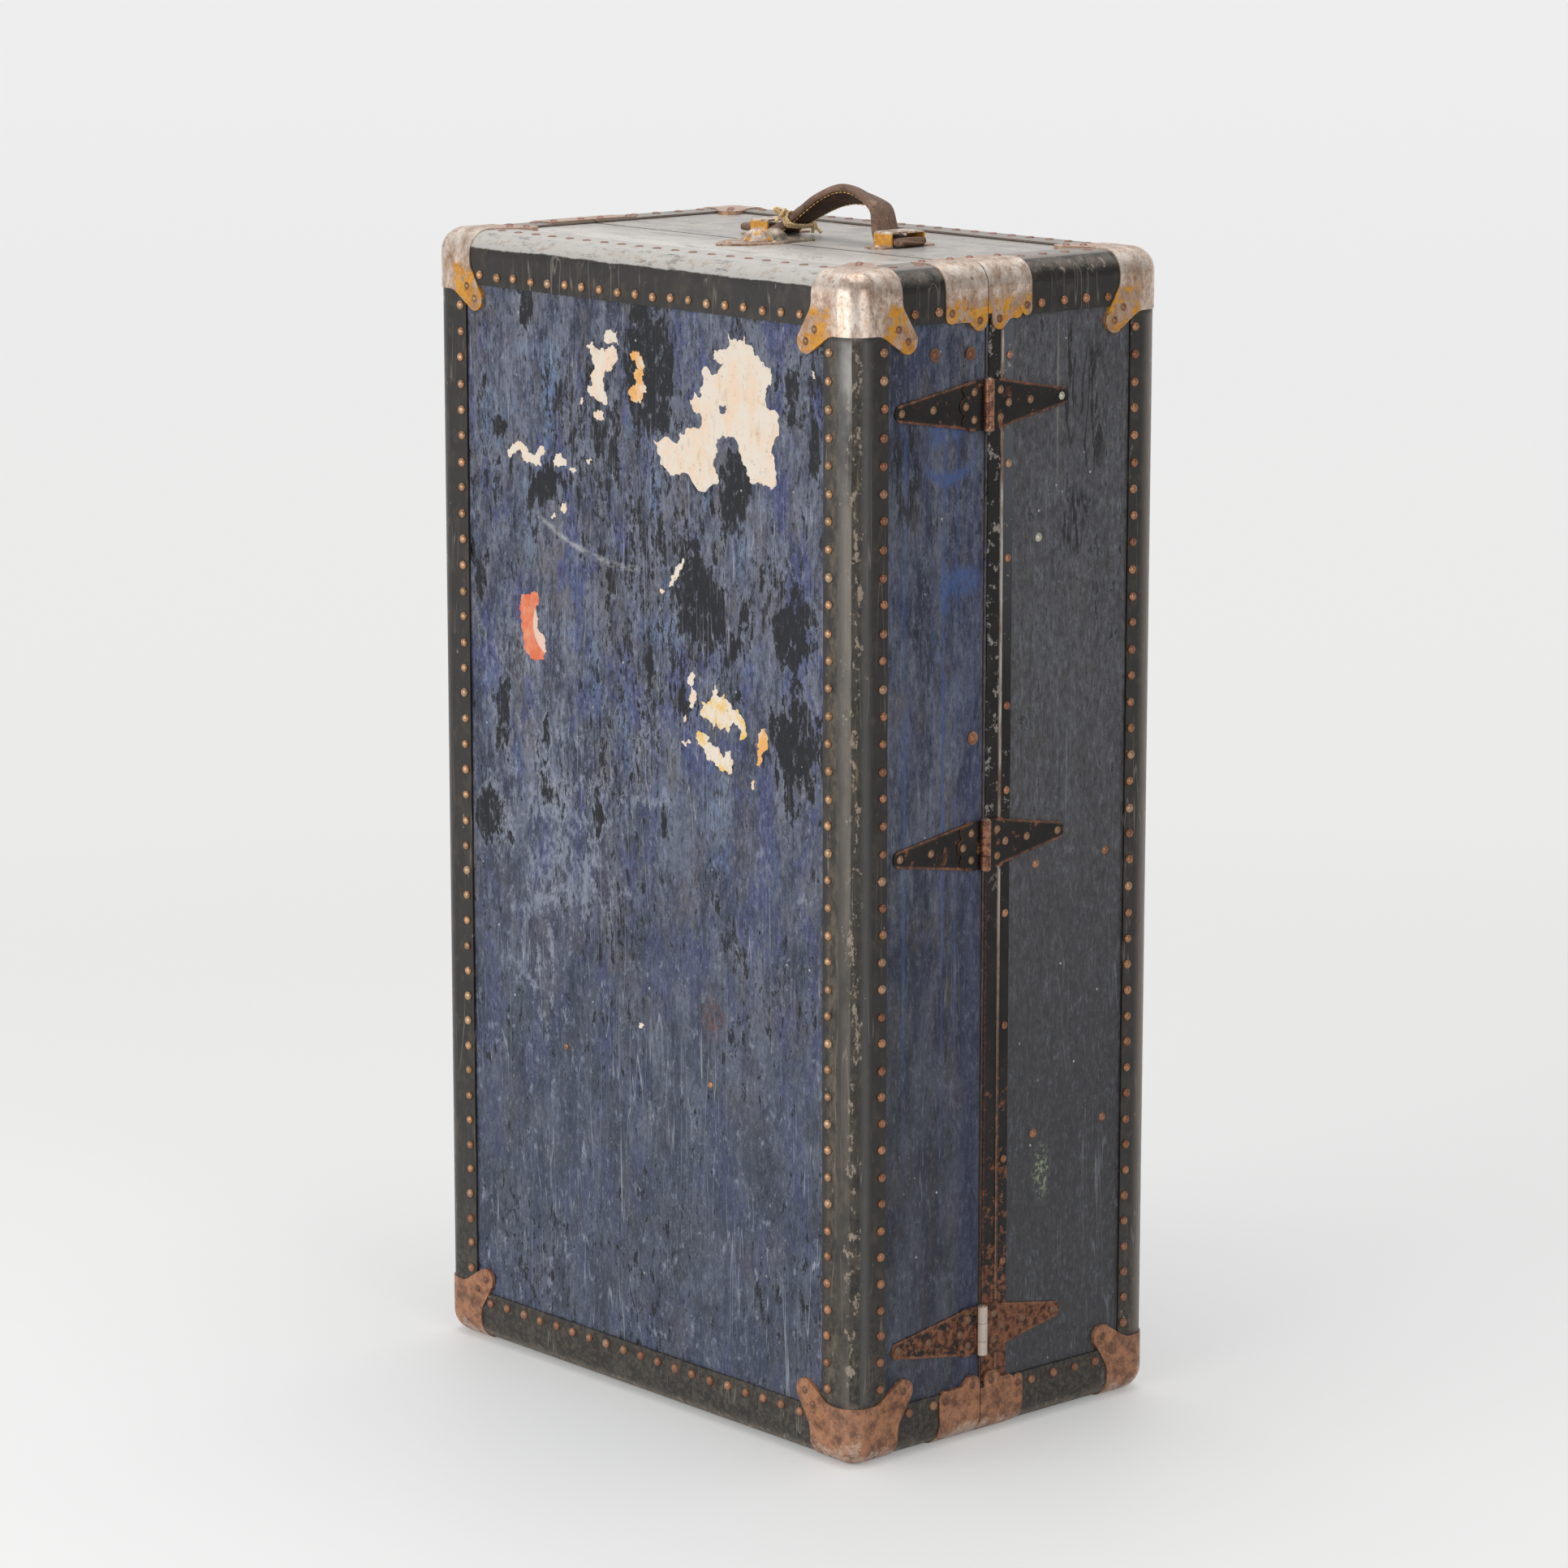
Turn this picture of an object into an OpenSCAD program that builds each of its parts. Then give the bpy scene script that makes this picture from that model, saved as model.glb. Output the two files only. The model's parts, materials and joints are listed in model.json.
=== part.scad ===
// Wardrobe trunk that stands on end and opens like a book, with drawers and a hanger trolley inside.
// X runs across the wide face with the hinges at +X, Y runs from front to back, Z is up.
// The origin lies on the floor, under the middle of the closed case.

/* [Case] */
// Width over the bindings
case_w = 554; // [500:1:620]
// Height over the bindings
case_h = 1014; // [980:1:1060]
// Depth of the front half over the bindings
near_d = 149; // [145:1:180]
// Depth of the back half over the bindings
far_d = 207; // [195:1:250]
// Open gap between the two halves
part_gap = 2; // [1.4:0.1:2.4]
// Radius of the outer edges
edge_r = 20; // [18:0.5:22]
// Thickness of the plywood boards
board_t = 9; // [8:0.5:11]
// Thickness of the fibre covering
cover_t = 1; // [0.8:0.1:1.3]

/* [Bindings] */
// Thickness of the bindings
bind_t = 2.2; // [1.8:0.1:2.5]
// Leg of the upright bindings at the hinge side
upright_leg = 38; // [34:0.5:42]
// Leg of the upright bindings on the wide faces at the latch side
latch_leg = 45; // [38:0.5:47]
// Leg of the level bindings
level_leg = 46; // [42:0.5:48]

/* [Corner caps] */
// Thickness of the pressed caps and clamps
cap_t = 1.2; // [1:0.1:1.5]
// Reach of a cap along each edge
cap_reach = 52; // [50:0.5:56]
// Distance of a lobe's round end from both edges
lobe_at = 58.5; // [57:0.5:62]
// Radius of a lobe's round end
lobe_r = 10.5; // [9:0.5:11.5]
// Distance from the edge at which a lobe starts to flare
flare_at = 29; // [26:1:36]
// Radius of the fillet at the foot of a flare
flare_round = 20; // [12:1:24]
// Diameter of a cap rivet's head
rivet_d = 7; // [6:0.5:8]
// Height of a cap rivet's head
rivet_h = 1.7; // [1.2:0.1:2.2]

/* [Edge clamps] */
// Length of a front clamp along the edge
near_clamp = 48; // [44:1:54]
// Length of a back clamp along the edge
far_clamp = 40; // [36:1:46]
// Leg of a clamp
clamp_leg = 42; // [38:1:44]
// Radius of a clamp's low lobe
clamp_lobe_r = 8.8; // [7:0.2:9.4]
// Length of the backing plate that shows past a back clamp
backing_len = 11; // [8:1:14]

/* [Hinges] */
// Height of the barrels
barrel_h = 43; // [38:1:50]
// Radius of the barrels
barrel_r = 4.6; // [4:0.1:5.2]
// Radius of the hinge pins
pin_r = 2.55; // [2:0.05:2.8]
// Running clearance of a pin in its bore
pin_play = 0.05; // [0.03:0.01:0.09]
// Thickness of the straps and leaves
strap_t = 1.4; // [1.2:0.1:1.6]
// Distance of a front strap's tip from the binding
strap_clear = 8; // [5:1:30]
// Reach of a back strap from the parting
far_strap = 96; // [75:1:105]
// Width of a strap at the barrel
strap_root = 42; // [34:1:46]
// Radius of a strap's tip
strap_tip_r = 7.6; // [6:0.2:9]
// Reach of a scalloped leaf from the parting
leaf_len = 30; // [24:1:34]
// Distance of the top hinge from the top
hinge_top_in = 119; // [100:1:150]
// Height of the middle hinge above mid-height
hinge_mid_up = 15; // [-60:1:60]
// Distance of the bottom hinge from the bottom
hinge_low_in = 96; // [90:1:150]

/* [Edge strip] */
// Thickness of the strip beside the parting
strip_t = 1; // [0.8:0.1:1.2]
// Distance of the strip from the parting
strip_in = 3.2; // [3.1:0.1:4]
// Width of the strip
strip_w = 28.5; // [24:0.5:34]
// Distance of the raised bead from the parting
bead_at = 19; // [14:0.5:22]
// Radius of the raised bead
bead_r = 1.5; // [1:0.1:1.8]

/* [Handle] */
// Sideways offset of the handle from the middle
handle_x = 30; // [0:1:40]
// Distance of the handle behind the parting
handle_y = 55; // [45:1:70]
// Span over the two strap loops
loop_span = 182; // [170:1:200]
// Length of a strap loop along the strap
loop_len = 22; // [18:1:28]
// Height of a strap loop
loop_h = 14; // [12.5:0.5:18]
// Width of the leather strap
strap_w = 35; // [28:1:40]
// Width of the leather strap along its arch
waist_w = 27; // [24:1:28]
// Thickness of the leather strap
leather_t = 9.4; // [8:0.2:10]
// Height of the arch's middle above the top
arch_h = 46; // [38:1:58]
// Diameter of the twine
twine_d = 2.4; // [1.8:0.1:3]

/* [Top dowel] */
// Reach of the front plate from the parting
dowel_leaf = 58; // [50:1:70]
// Reach of the back plate from the parting
plug_leaf = 35; // [30:1:42]
// Width of the plates at the parting
dowel_w = 54; // [46:1:62]
// Radius of the socket dome
dome_r = 14; // [12:0.5:16]

/* [Hasps] */
// Distance of the hasp pins behind the parting
hasp_back = 26; // [24:1:32]
// Height of the hasp pins above the covering
hasp_up = 6.5; // [6.3:0.1:7.5]
// Length of a hasp plate from its pin
hasp_len = 80; // [74:1:88]
// Width of a hasp plate
hasp_w = 36; // [30:1:42]
// Height of the outer hasps above and below the lock
hasp_pitch = 330; // [280:5:350]

/* [Drawers] */
// Thickness of the shelves
shelf_t = 7; // [6:0.5:9]
// Thickness of a drawer's walls
drawer_t = 6; // [5:0.5:8]
// Gap at each side of a drawer
drawer_gap = 3.2; // [3:0.1:4]
// Height of the lowest shelf's middle
shelf_1 = 259; // [230:1:280]
// Height of the second shelf's middle
shelf_2 = 497; // [470:1:510]
// Height of the third shelf's middle
shelf_3 = 638; // [620:1:660]
// Height of the top shelf's middle
shelf_4 = 779; // [760:1:800]
// Distance of the drawer fronts behind the parting
drawer_in = 8; // [5:1:12]
// Diameter of the drawer knobs
knob_d = 20; // [16:1:26]

/* [Hangers] */
// Number of coat hangers on the trolley
hanger_n = 3; // [2:1:4]
// Span of a coat hanger
hanger_w = 400; // [340:5:430]
// Thickness of a coat hanger
hanger_t = 11; // [9:0.5:13]
// Radius of the hanging rod
rod_r = 5; // [4:0.5:6]

/* [Hidden] */
$fn = 48;

seam = 0.5;                                  // between one binding and the next
skin_t = bind_t + cover_t;                   // from the boards to the face of the bindings
wall_t = skin_t + board_t;                   // from the inside to the face of the bindings
inner_w = case_w - 2 * wall_t;
part_y = (near_d - far_d) / 2;               // the parting plane
mid_z = cap_t + case_h / 2;
top_z = cap_t + case_h - bind_t;             // face of the covering on top
inner_top = cap_t + case_h - wall_t;
inner_bottom = cap_t + wall_t;
cover_in = edge_r + 2;                       // the covering's sheets stop here, under the bindings
rim = part_gap / 2;                          // from the parting plane to the rim of a half
face_x = case_w / 2 - bind_t;                // face of the covering on the sides
axis_up = barrel_r + 0.3;                    // hinge axis above the covering
hinge_zs = [2 * mid_z - hinge_top_in, mid_z + hinge_mid_up, hinge_low_in];
knuckle_gap = 0.35;
knuckles = [[-0.5, -0.22], [-0.22, 0.16], [0.16, 0.5]];   // shares of the barrel, from below
near_strap = near_d - upright_leg - strap_clear;
far_lift = strip_t;                          // the back straps lie on the edge strip
joggle = strip_in + strip_w + 12;            // where a back strap steps down to the covering

// Turns one face of a corner into the next
module turned(k) {
    if (k == 0) children();
    else if (k == 1) rotate([90, 0, 90]) children();
    else rotate([90, 0, 90]) rotate([90, 0, 90]) children();
}

// A half is drawn with the parting at y = 0, its open side down the -Y axis and z = 0 at mid-height
module far_place() { translate([0, part_y, mid_z]) children(); }
module near_place() { translate([0, part_y, mid_z]) mirror([0, 1, 0]) children(); }
module flip_x(s) { mirror([s > 0 ? 1 : 0, 0, 0]) children(); }
module flip_z(s) { mirror([0, 0, s > 0 ? 1 : 0]) children(); }

// Domed head that stands on z = 0
module rivet_head(d, h) {
    r = (d * d / 4 + h * h) / (2 * h);
    intersection() {
        translate([0, 0, h - r]) sphere(r);
        translate([-d, -d, 0]) cube([2 * d, 2 * d, 2 * h]);
    }
}

// Boards
module half_outline(w, d, r) {
    translate([-w / 2, 0]) square([w, d - r]);
    translate([-w / 2 + r, 0]) square([w - 2 * r, d]);
    for (s = [-1, 1]) translate([s * (w / 2 - r), d - r]) circle(r);
}
module full_outline(w, h, r) {
    translate([-w / 2, -h / 2 + r]) square([w, h - 2 * r]);
    translate([-w / 2 + r, -h / 2]) square([w - 2 * r, h]);
    for (s = [-1, 1], t = [-1, 1]) translate([s * (w / 2 - r), t * (h / 2 - r)]) circle(r);
}
module corner_tip(d) {
    for (s = [-1, 1], t = [-1, 1])
        flip_x(-s) flip_z(-t)
            translate([case_w / 2 - edge_r, d - edge_r, case_h / 2 - edge_r])
                rotate([0, acos(1 / sqrt(3)), 45])
                    translate([-edge_r, -edge_r, edge_r - 1]) cube([2 * edge_r, 2 * edge_r, edge_r]);
}
module core(d) {
    r = edge_r - skin_t;
    w = case_w - 2 * skin_t;
    h = case_h - 2 * skin_t;
    difference() {
        intersection() {
            linear_extrude(case_h, center = true) half_outline(w, d - skin_t, r);
            rotate([0, 90, 0]) linear_extrude(case_w, center = true) half_outline(h, d - skin_t, r);
            rotate([-90, 0, 0]) linear_extrude(d) full_outline(w, h, r);
        }
        corner_tip(d);
    }
}
module face_panel(d) {
    intersection() {
        core(d);
        translate([-case_w / 2, d - wall_t, -case_h / 2]) cube([case_w, wall_t, case_h]);
    }
}
module side_board(d, s) {
    intersection() {
        core(d);
        translate([s > 0 ? inner_w / 2 : -inner_w / 2 - wall_t, rim, -case_h / 2])
            cube([wall_t, d - wall_t - rim, case_h]);
    }
}
module end_board(d, s) {
    z = case_h / 2 - wall_t;
    intersection() {
        core(d);
        translate([-inner_w / 2, rim, s > 0 ? z : -z - wall_t])
            cube([inner_w, d - wall_t - rim, wall_t]);
    }
}

// Covering: one flat sheet on each face of a half
module covering(d) {
    w = case_w - 2 * cover_in;
    h = case_h - 2 * cover_in;
    color([0.23, 0.26, 0.34]) {
        translate([-w / 2, d - skin_t, -h / 2]) cube([w, cover_t, h]);
        for (s = [-1, 1]) {
            translate([s * (case_w / 2 - skin_t + cover_t / 2) - cover_t / 2, rim, -h / 2])
                cube([cover_t, d - cover_in - rim, h]);
            translate([-w / 2, rim, s * (case_h / 2 - skin_t + cover_t / 2) - cover_t / 2])
                cube([w, d - cover_in - rim, cover_t]);
        }
    }
}

// Bindings: an angle with a round outer edge, its corner at the origin
module angle_profile(a, b) {
    translate([edge_r, 0]) square([a - edge_r, bind_t]);
    translate([0, edge_r]) square([bind_t, b - edge_r]);
    intersection() {
        translate([edge_r, edge_r]) difference() {
            circle(edge_r);
            circle(edge_r - bind_t);
        }
        square(edge_r);
    }
}
function wide_leg(s) = s > 0 ? upright_leg : latch_leg;
module upright_bindings(d) {
    h = case_h - 2 * (edge_r + 6);
    color([0.13, 0.12, 0.12])
        for (s = [-1, 1])
            translate([s * case_w / 2, d, -h / 2]) flip_x(s) mirror([0, 1, 0])
                linear_extrude(h) angle_profile(wide_leg(s), upright_leg);
}
module level_bindings(d) {
    x0 = -case_w / 2 + latch_leg + seam;
    len = case_w / 2 - upright_leg - seam - x0;
    color([0.15, 0.14, 0.13])
        for (s = [-1, 1])
            translate([x0, d, s * case_h / 2]) mirror([0, 1, 0]) flip_z(s)
                rotate([90, 0, 90]) linear_extrude(len) angle_profile(level_leg, level_leg);
}
module end_bindings(d) {
    len = d - level_leg - seam - rim;
    color([0.14, 0.13, 0.13])
        for (s = [-1, 1], t = [-1, 1])
            translate([s * case_w / 2, rim + len, t * case_h / 2]) flip_x(s) flip_z(t)
                rotate([90, 0, 0]) linear_extrude(len) angle_profile(level_leg, level_leg);
}

// Corner cap: its corner at the origin, its three faces along +X, +Y and +Z
module cap_outline() {
    a = lobe_at + lobe_r * cos(25);
    b = lobe_at - lobe_r * sin(25);
    translate([edge_r, edge_r]) square(cap_reach - edge_r);
    polygon([[edge_r, edge_r], [cap_reach, edge_r], [cap_reach, flare_at], [a, b],
        [b, a], [flare_at, cap_reach], [edge_r, cap_reach]]);
    translate([lobe_at, lobe_at]) circle(lobe_r);
    for (k = [0, 1]) mirror([k, -k]) flare_fillet(atan2(a - cap_reach, b - flare_at));
}
module flare_fillet(turn) {
    t = flare_round * tan(turn / 2);
    difference() {
        polygon([[cap_reach - 1, flare_at - t], [cap_reach, flare_at - t],
            [cap_reach + t * sin(turn), flare_at + t * cos(turn)], [cap_reach - 1, flare_at + 1]]);
        translate([cap_reach + flare_round, flare_at - t]) circle(flare_round + 0.03);
    }
}
module cap_pad(a, b) {
    // Fills a lobe down to the covering, past the bindings' legs
    linear_extrude(bind_t) intersection() {
        cap_outline();
        translate([a + seam, b + seam]) square(cap_reach);
    }
}
module quarter_shell(r) {
    translate([r, r]) intersection() {
        difference() {
            circle(r + cap_t);
            circle(r);
        }
        translate([-2 * r, -2 * r]) square(2 * r);
    }
}
module corner_cap(leg) {
    for (k = [0:2]) turned(k) {
        translate([0, 0, -cap_t]) linear_extrude(cap_t) cap_outline();
        translate([0, 0, edge_r]) linear_extrude(cap_reach - edge_r) quarter_shell(edge_r);
    }
    translate([edge_r, edge_r, edge_r]) intersection() {
        difference() {
            sphere(edge_r + cap_t);
            sphere(edge_r);
        }
        translate([-2 * edge_r, -2 * edge_r, -2 * edge_r]) cube(2 * edge_r);
    }
    cap_pad(level_leg, level_leg);
    turned(1) cap_pad(upright_leg, level_leg);
    turned(2) cap_pad(level_leg, leg);
}
module at_corner(d, s, t) {
    translate([s * case_w / 2, d, t * case_h / 2]) flip_x(s) mirror([0, 1, 0]) flip_z(t) children();
}
module corner_caps(d) {
    color([0.5, 0.42, 0.34])
        for (s = [-1, 1], t = [-1, 1]) at_corner(d, s, t) corner_cap(wide_leg(s));
}

// Edge clamp: its corner at the origin, legs along +X and +Z, the parting at y = 0
module clamp_profile(t) {
    for (k = [0, 1]) mirror([k, -k]) translate([edge_r, -t]) square([clamp_leg - edge_r, t]);
    translate([edge_r, edge_r]) intersection() {
        difference() {
            circle(edge_r + t);
            circle(edge_r);
        }
        translate([-2 * edge_r, -2 * edge_r]) square(2 * edge_r);
    }
}
lobe_z = clamp_leg + 5;
outer_lobe_r = 7;
module clamp_lobes(y1, y2) {
    r = clamp_lobe_r;
    top = clamp_leg - 1;
    translate([y1, lobe_z]) circle(r);
    translate([y1 - r, top]) square([2 * r, lobe_z - top]);
    translate([y2, top]) circle(outer_lobe_r);
    // The edge runs down from the outer lobe to the low one in a slope
    polygon([[y1, top], [y1 + 0.8 * r, lobe_z + 0.6 * r], [y1 + 1.35 * r, lobe_z + 0.1 * r],
        [y2 - outer_lobe_r * 0.4, top + outer_lobe_r * 0.9], [y2, top]]);
}
function near_lobe() = rim / 2 + clamp_lobe_r;
function far_lobe() = rim / 2 + clamp_lobe_r + 4;
module edge_clamp(len, lobe, foot) {
    translate([0, len, 0]) rotate([90, 0, 0]) linear_extrude(len - rim / 2) clamp_profile(cap_t);
    translate([-cap_t, 0, 0]) rotate([90, 0, 90]) linear_extrude(cap_t) clamp_lobes(lobe, len - 7);
    // The low lobe reaches down to what lies under it
    rotate([90, 0, 90]) linear_extrude(foot) intersection() {
        clamp_lobes(lobe, len - 7);
        translate([0, level_leg + seam]) square(cap_reach);
    }
}
module backing_plate() {
    t = cap_t * 0.6;
    translate([0, far_clamp + backing_len, 0]) rotate([90, 0, 0])
        linear_extrude(backing_len) clamp_profile(t);
    translate([-t, 0, 0]) rotate([90, 0, 90]) linear_extrude(t)
        translate([far_clamp + backing_len / 2, clamp_leg - 1]) circle(backing_len / 2);
}
module at_edge(s, t) { translate([s * case_w / 2, 0, t * case_h / 2]) flip_x(s) flip_z(t) children(); }

// Rivets of the caps and clamps, none on the face that stands on the floor
lobe_rivets = [lobe_at - 10.5, lobe_at];
module cap_rivets(d) {
    for (s = [-1, 1], t = [-1, 1], k = [0:2], p = lobe_rivets)
        if (k > 0 || t > 0)
            at_corner(d, s, t) turned(k)
                translate([p, p, -cap_t]) mirror([0, 0, 1]) rivet_head(rivet_d, rivet_h);
}
module clamp_rivets(points) {
    for (s = [-1, 1], t = [-1, 1], p = points) at_edge(s, t) {
        translate([-p[2], p[0], p[1]]) rotate([0, -90, 0]) rivet_head(rivet_d, rivet_h);
        if (t > 0) translate([clamp_leg - 6, p[0], -p[2]]) mirror([0, 0, 1]) rivet_head(rivet_d, rivet_h);
    }
}

// Hinges: drawn with the covering at x = 0, the parting at y = 0, the leaf along +Y
module strap_outline(reach, y0, y1) {
    c = reach - strap_tip_r;
    half_w = strap_root / 2;
    intersection() {
        union() {
            polygon([[0, -half_w], [leaf_len * 0.45, -half_w], [c, -strap_tip_r], [c, strap_tip_r],
                [leaf_len * 0.45, half_w], [0, half_w]]);
            translate([c, 0]) circle(strap_tip_r);
        }
        translate([y0, -strap_root]) square([y1 - y0, 2 * strap_root]);
    }
}
module plate_x(x0, t) { translate([x0, 0, 0]) rotate([90, 0, 90]) linear_extrude(t) children(); }
near_start = sqrt(pow(barrel_r + 0.4, 2) - pow(axis_up - strap_t, 2));
far_start = sqrt(pow(barrel_r + 0.4, 2) - pow(axis_up - strap_t - far_lift, 2)) + 0.1;
module near_strap_plate() { plate_x(0, strap_t) strap_outline(near_strap, near_start, near_strap + 1); }
module far_strap_plate() {
    plate_x(far_lift, strap_t) strap_outline(far_strap, far_start, joggle);
    plate_x(0, far_lift) strap_outline(far_strap, strip_in + strip_w + seam, joggle);
    plate_x(0, strap_t) strap_outline(far_strap, joggle - strap_t, far_strap + 1);
}
module leaf_outline() {
    h = barrel_h / 2 - 0.5;
    difference() {
        union() {
            translate([1.9, -h]) square([leaf_len - 5 - 1.9, 2 * h]);
            translate([leaf_len - 8, 0]) circle(8);
            for (s = [-1, 1]) translate([leaf_len - 10.5, s * (h - 7.5)]) circle(7.5);
        }
        for (s = [-1, 1]) translate([leaf_len - 1, s * h * 0.46]) circle(3.2);
        for (s = [-1, 1]) translate([leaf_len - 5, s * (h + 1)]) circle(5);
    }
}
module leaf(x0, own) {
    difference() {
        union() {
            plate_x(x0, strap_t) leaf_outline();
            for (k = own) knuckle(k, barrel_r);
        }
        translate([axis_up, 0, -barrel_h]) cylinder(r = pin_r + pin_play, h = 2 * barrel_h);
        for (k = [0:2]) if (len(search(k, own)) == 0) knuckle(k, barrel_r + 0.4, -knuckle_gap);
    }
}
module knuckle(k, r, trim = 0) {
    z0 = knuckles[k][0] * barrel_h + (k > 0 ? knuckle_gap / 2 + trim : 0);
    z1 = knuckles[k][1] * barrel_h - (k < 2 ? knuckle_gap / 2 + trim : 0);
    translate([axis_up, 0, z0]) cylinder(r = r, h = z1 - z0);
}
module hinge_pin() {
    translate([axis_up, 0, -barrel_h / 2]) cylinder(r = pin_r, h = barrel_h);
    for (s = [0, 1]) mirror([0, 0, s])
        translate([axis_up, 0, barrel_h / 2]) rivet_head(2 * barrel_r - 0.8, 1.8);
}
module at_hinges(near) {
    for (z = hinge_zs) translate([face_x, part_y, z]) mirror([0, near ? 1 : 0, 0]) children();
}
leaf_rivets = [[14.5, 11.5], [leaf_len - 6, 0], [14.5, -11.5]];
module hinge_rivets(x0, x1, strap_ys) {
    for (p = leaf_rivets) translate([x0, p[0], p[1]]) rotate([0, 90, 0]) rivet_head(rivet_d, rivet_h);
    for (y = strap_ys) translate([x1, y, 0]) rotate([0, 90, 0]) rivet_head(rivet_d, rivet_h);
}

// Big washer rivets and the rivets that hold the shelves, on the hinge side
washer_drop = 70;                            // from the top down to the pair under the clamps
washer_up = 107.8;                           // from mid-height up to the single one
washer_rivets = [[-58, top_z - washer_drop], [-17, top_z - washer_drop - 2], [-12, mid_z + washer_up]];
shelf_rivets = [[shelf_1, 64], [shelf_1, 148], [shelf_2, 64], [shelf_2, 148], [shelf_4, 64]];
module washer_rivet() {
    cylinder(d = 11.4, h = 0.8);
    translate([0, 0, 0.8]) rivet_head(7.4, 1.8);
}

// Handle, drawn with the covering at z = 0 and the strap along X
loop_out = loop_span / 2;
loop_wall = 1.6;
loop_w = strap_w + 2 * loop_wall + 1.4;
flange = 11;
loop_round = 3;                              // radius of a loop's upper corners
module strap_loop() {
    difference() {
        union() {
            rotate([90, 0, 90]) linear_extrude(loop_len) {
                translate([-loop_w / 2, 0]) square([loop_w, loop_h - loop_round]);
                translate([-loop_w / 2 + loop_round, 0]) square([loop_w - 2 * loop_round, loop_h]);
                for (s = [-1, 1])
                    translate([s * (loop_w / 2 - loop_round), loop_h - loop_round]) circle(loop_round);
            }
            translate([0, -loop_w / 2 - flange, 0]) cube([loop_len, loop_w + 2 * flange, loop_wall]);
            for (s = [-1, 1]) translate([loop_len / 2, s * (loop_w + flange) / 2, 0])
                cylinder(d = loop_len * 0.8, h = loop_wall);
        }
        translate([-1, -loop_w / 2 + loop_wall, -1])
            cube([loop_len + 2, loop_w - 2 * loop_wall, loop_h + 1 - loop_wall]);
    }
    for (s = [-1, 1])
        translate([loop_len / 2, s * (loop_w + flange) / 2, loop_wall]) rivet_head(rivet_d, rivet_h);
}
// The strap's middle line: flat through both loops, a long rise and a steep fall between them
lie = leather_t / 2 + 0.5;
loop_in = loop_out - loop_len;
foot_l = [-loop_in, lie];
crown = [loop_span * 0.11, arch_h];
foot_r = [loop_in + 5, lie];
drop = [foot_r[0] - 15, arch_h * 0.62];
arch = [[foot_l, foot_l + [9, 0], crown - [32, 0], crown],
    [crown, crown + [19, 0], drop - [2.4, -11], drop],
    [drop, drop + [2.4, -11], foot_r - [12.5, 0], foot_r]];
function bez(p, t) = pow(1 - t, 3) * p[0] + 3 * pow(1 - t, 2) * t * p[1]
    + 3 * (1 - t) * pow(t, 2) * p[2] + pow(t, 3) * p[3];
function slope(p, t) = 3 * pow(1 - t, 2) * (p[1] - p[0]) + 6 * (1 - t) * t * (p[2] - p[1])
    + 3 * pow(t, 2) * (p[3] - p[2]);
function side_of(p, t, off) = let (v = slope(p, t), n = norm(v)) bez(p, t) + off * [-v[1], v[0]] / n;
steps = [0:1 / 10:1.001];
function run(off) = [for (k = [0:2], t = steps) if (k == 0 || t > 0) side_of(arch[k], t, off)];
tab_l = -loop_out - 16;
tab_r = loop_out + 4;
module leather_outline() {
    o = leather_t / 2;
    upper = concat([[tab_l, lie + o]], run(o), [[tab_r, lie + o]]);
    lower = concat([[tab_l, lie - o]], run(-o), [[tab_r, lie - o]]);
    polygon(concat(upper, [for (i = [len(lower) - 1:-1:0]) lower[i]]));
}
taper = 10;
module leather_plan() {
    // Full width through the loops, narrower along the arch
    a = strap_w / 2;
    b = waist_w / 2;
    polygon([[tab_l, a], [-loop_in, a], [-loop_in + taper, b], [loop_in - taper, b], [loop_in, a], [tab_r, a],
        [tab_r, -a], [loop_in, -a], [loop_in - taper, -b], [-loop_in + taper, -b],
        [-loop_in, -a], [tab_l, -a]]);
}
at_handle = [handle_x, part_y + handle_y, top_z];

// Twine: a round cord swept along points
function ring(p, dir, r, n) =
    let (u = dir / norm(dir), a = cross(u, abs(u[2]) > 0.9 ? [1, 0, 0] : [0, 0, 1]),
        e = a / norm(a), f = cross(u, e))
    [for (i = [0:n - 1]) p + r * (cos(360 * i / n) * e - sin(360 * i / n) * f)];
module cord(path, r, n = 8) {
    m = len(path);
    pts = [for (i = [0:m - 1]) each ring(path[i], path[min(i + 1, m - 1)] - path[max(i - 1, 0)], r, n)];
    skin = [for (i = [0:m - 2], j = [0:n - 1]) each [[i * n + j, i * n + (j + 1) % n, (i + 1) * n + j],
        [i * n + (j + 1) % n, (i + 1) * n + (j + 1) % n, (i + 1) * n + j]]];
    ends = [[for (j = [n - 1:-1:0]) j], [for (j = [0:n - 1]) (m - 1) * n + j]];
    polyhedron(pts, concat(skin, ends));
}
// One turn of twine round the strap's section, its corners rounded by a superellipse
wrap_gap = 0.8;                              // from the leather to the twine
wrap_a = waist_w / 2 + twine_d / 2 + wrap_gap;
wrap_b = leather_t / 2 + twine_d / 2 + wrap_gap;
function power(v) = sign(v) * pow(abs(v), 0.25);
turns = 2;
wraps = [for (i = [0:24 * turns]) let (a = 15 * i - 60)
    [(i / 24 - turns / 2) * (twine_d + 0.5), wrap_a * power(cos(a)), wrap_b * power(sin(a))]];
// The least gap between the turns, measured on the twine's own points, half a turn or more apart
turn_gap = min([for (i = [0:len(wraps) - 13], j = [i + 12:len(wraps) - 1]) norm(wraps[i] - wraps[j])])
    - twine_d;
echo(turn_gap = turn_gap);
twine_t = 0.32;                              // the twine's place along the rise
knot_r = twine_d * 1.15;

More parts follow.
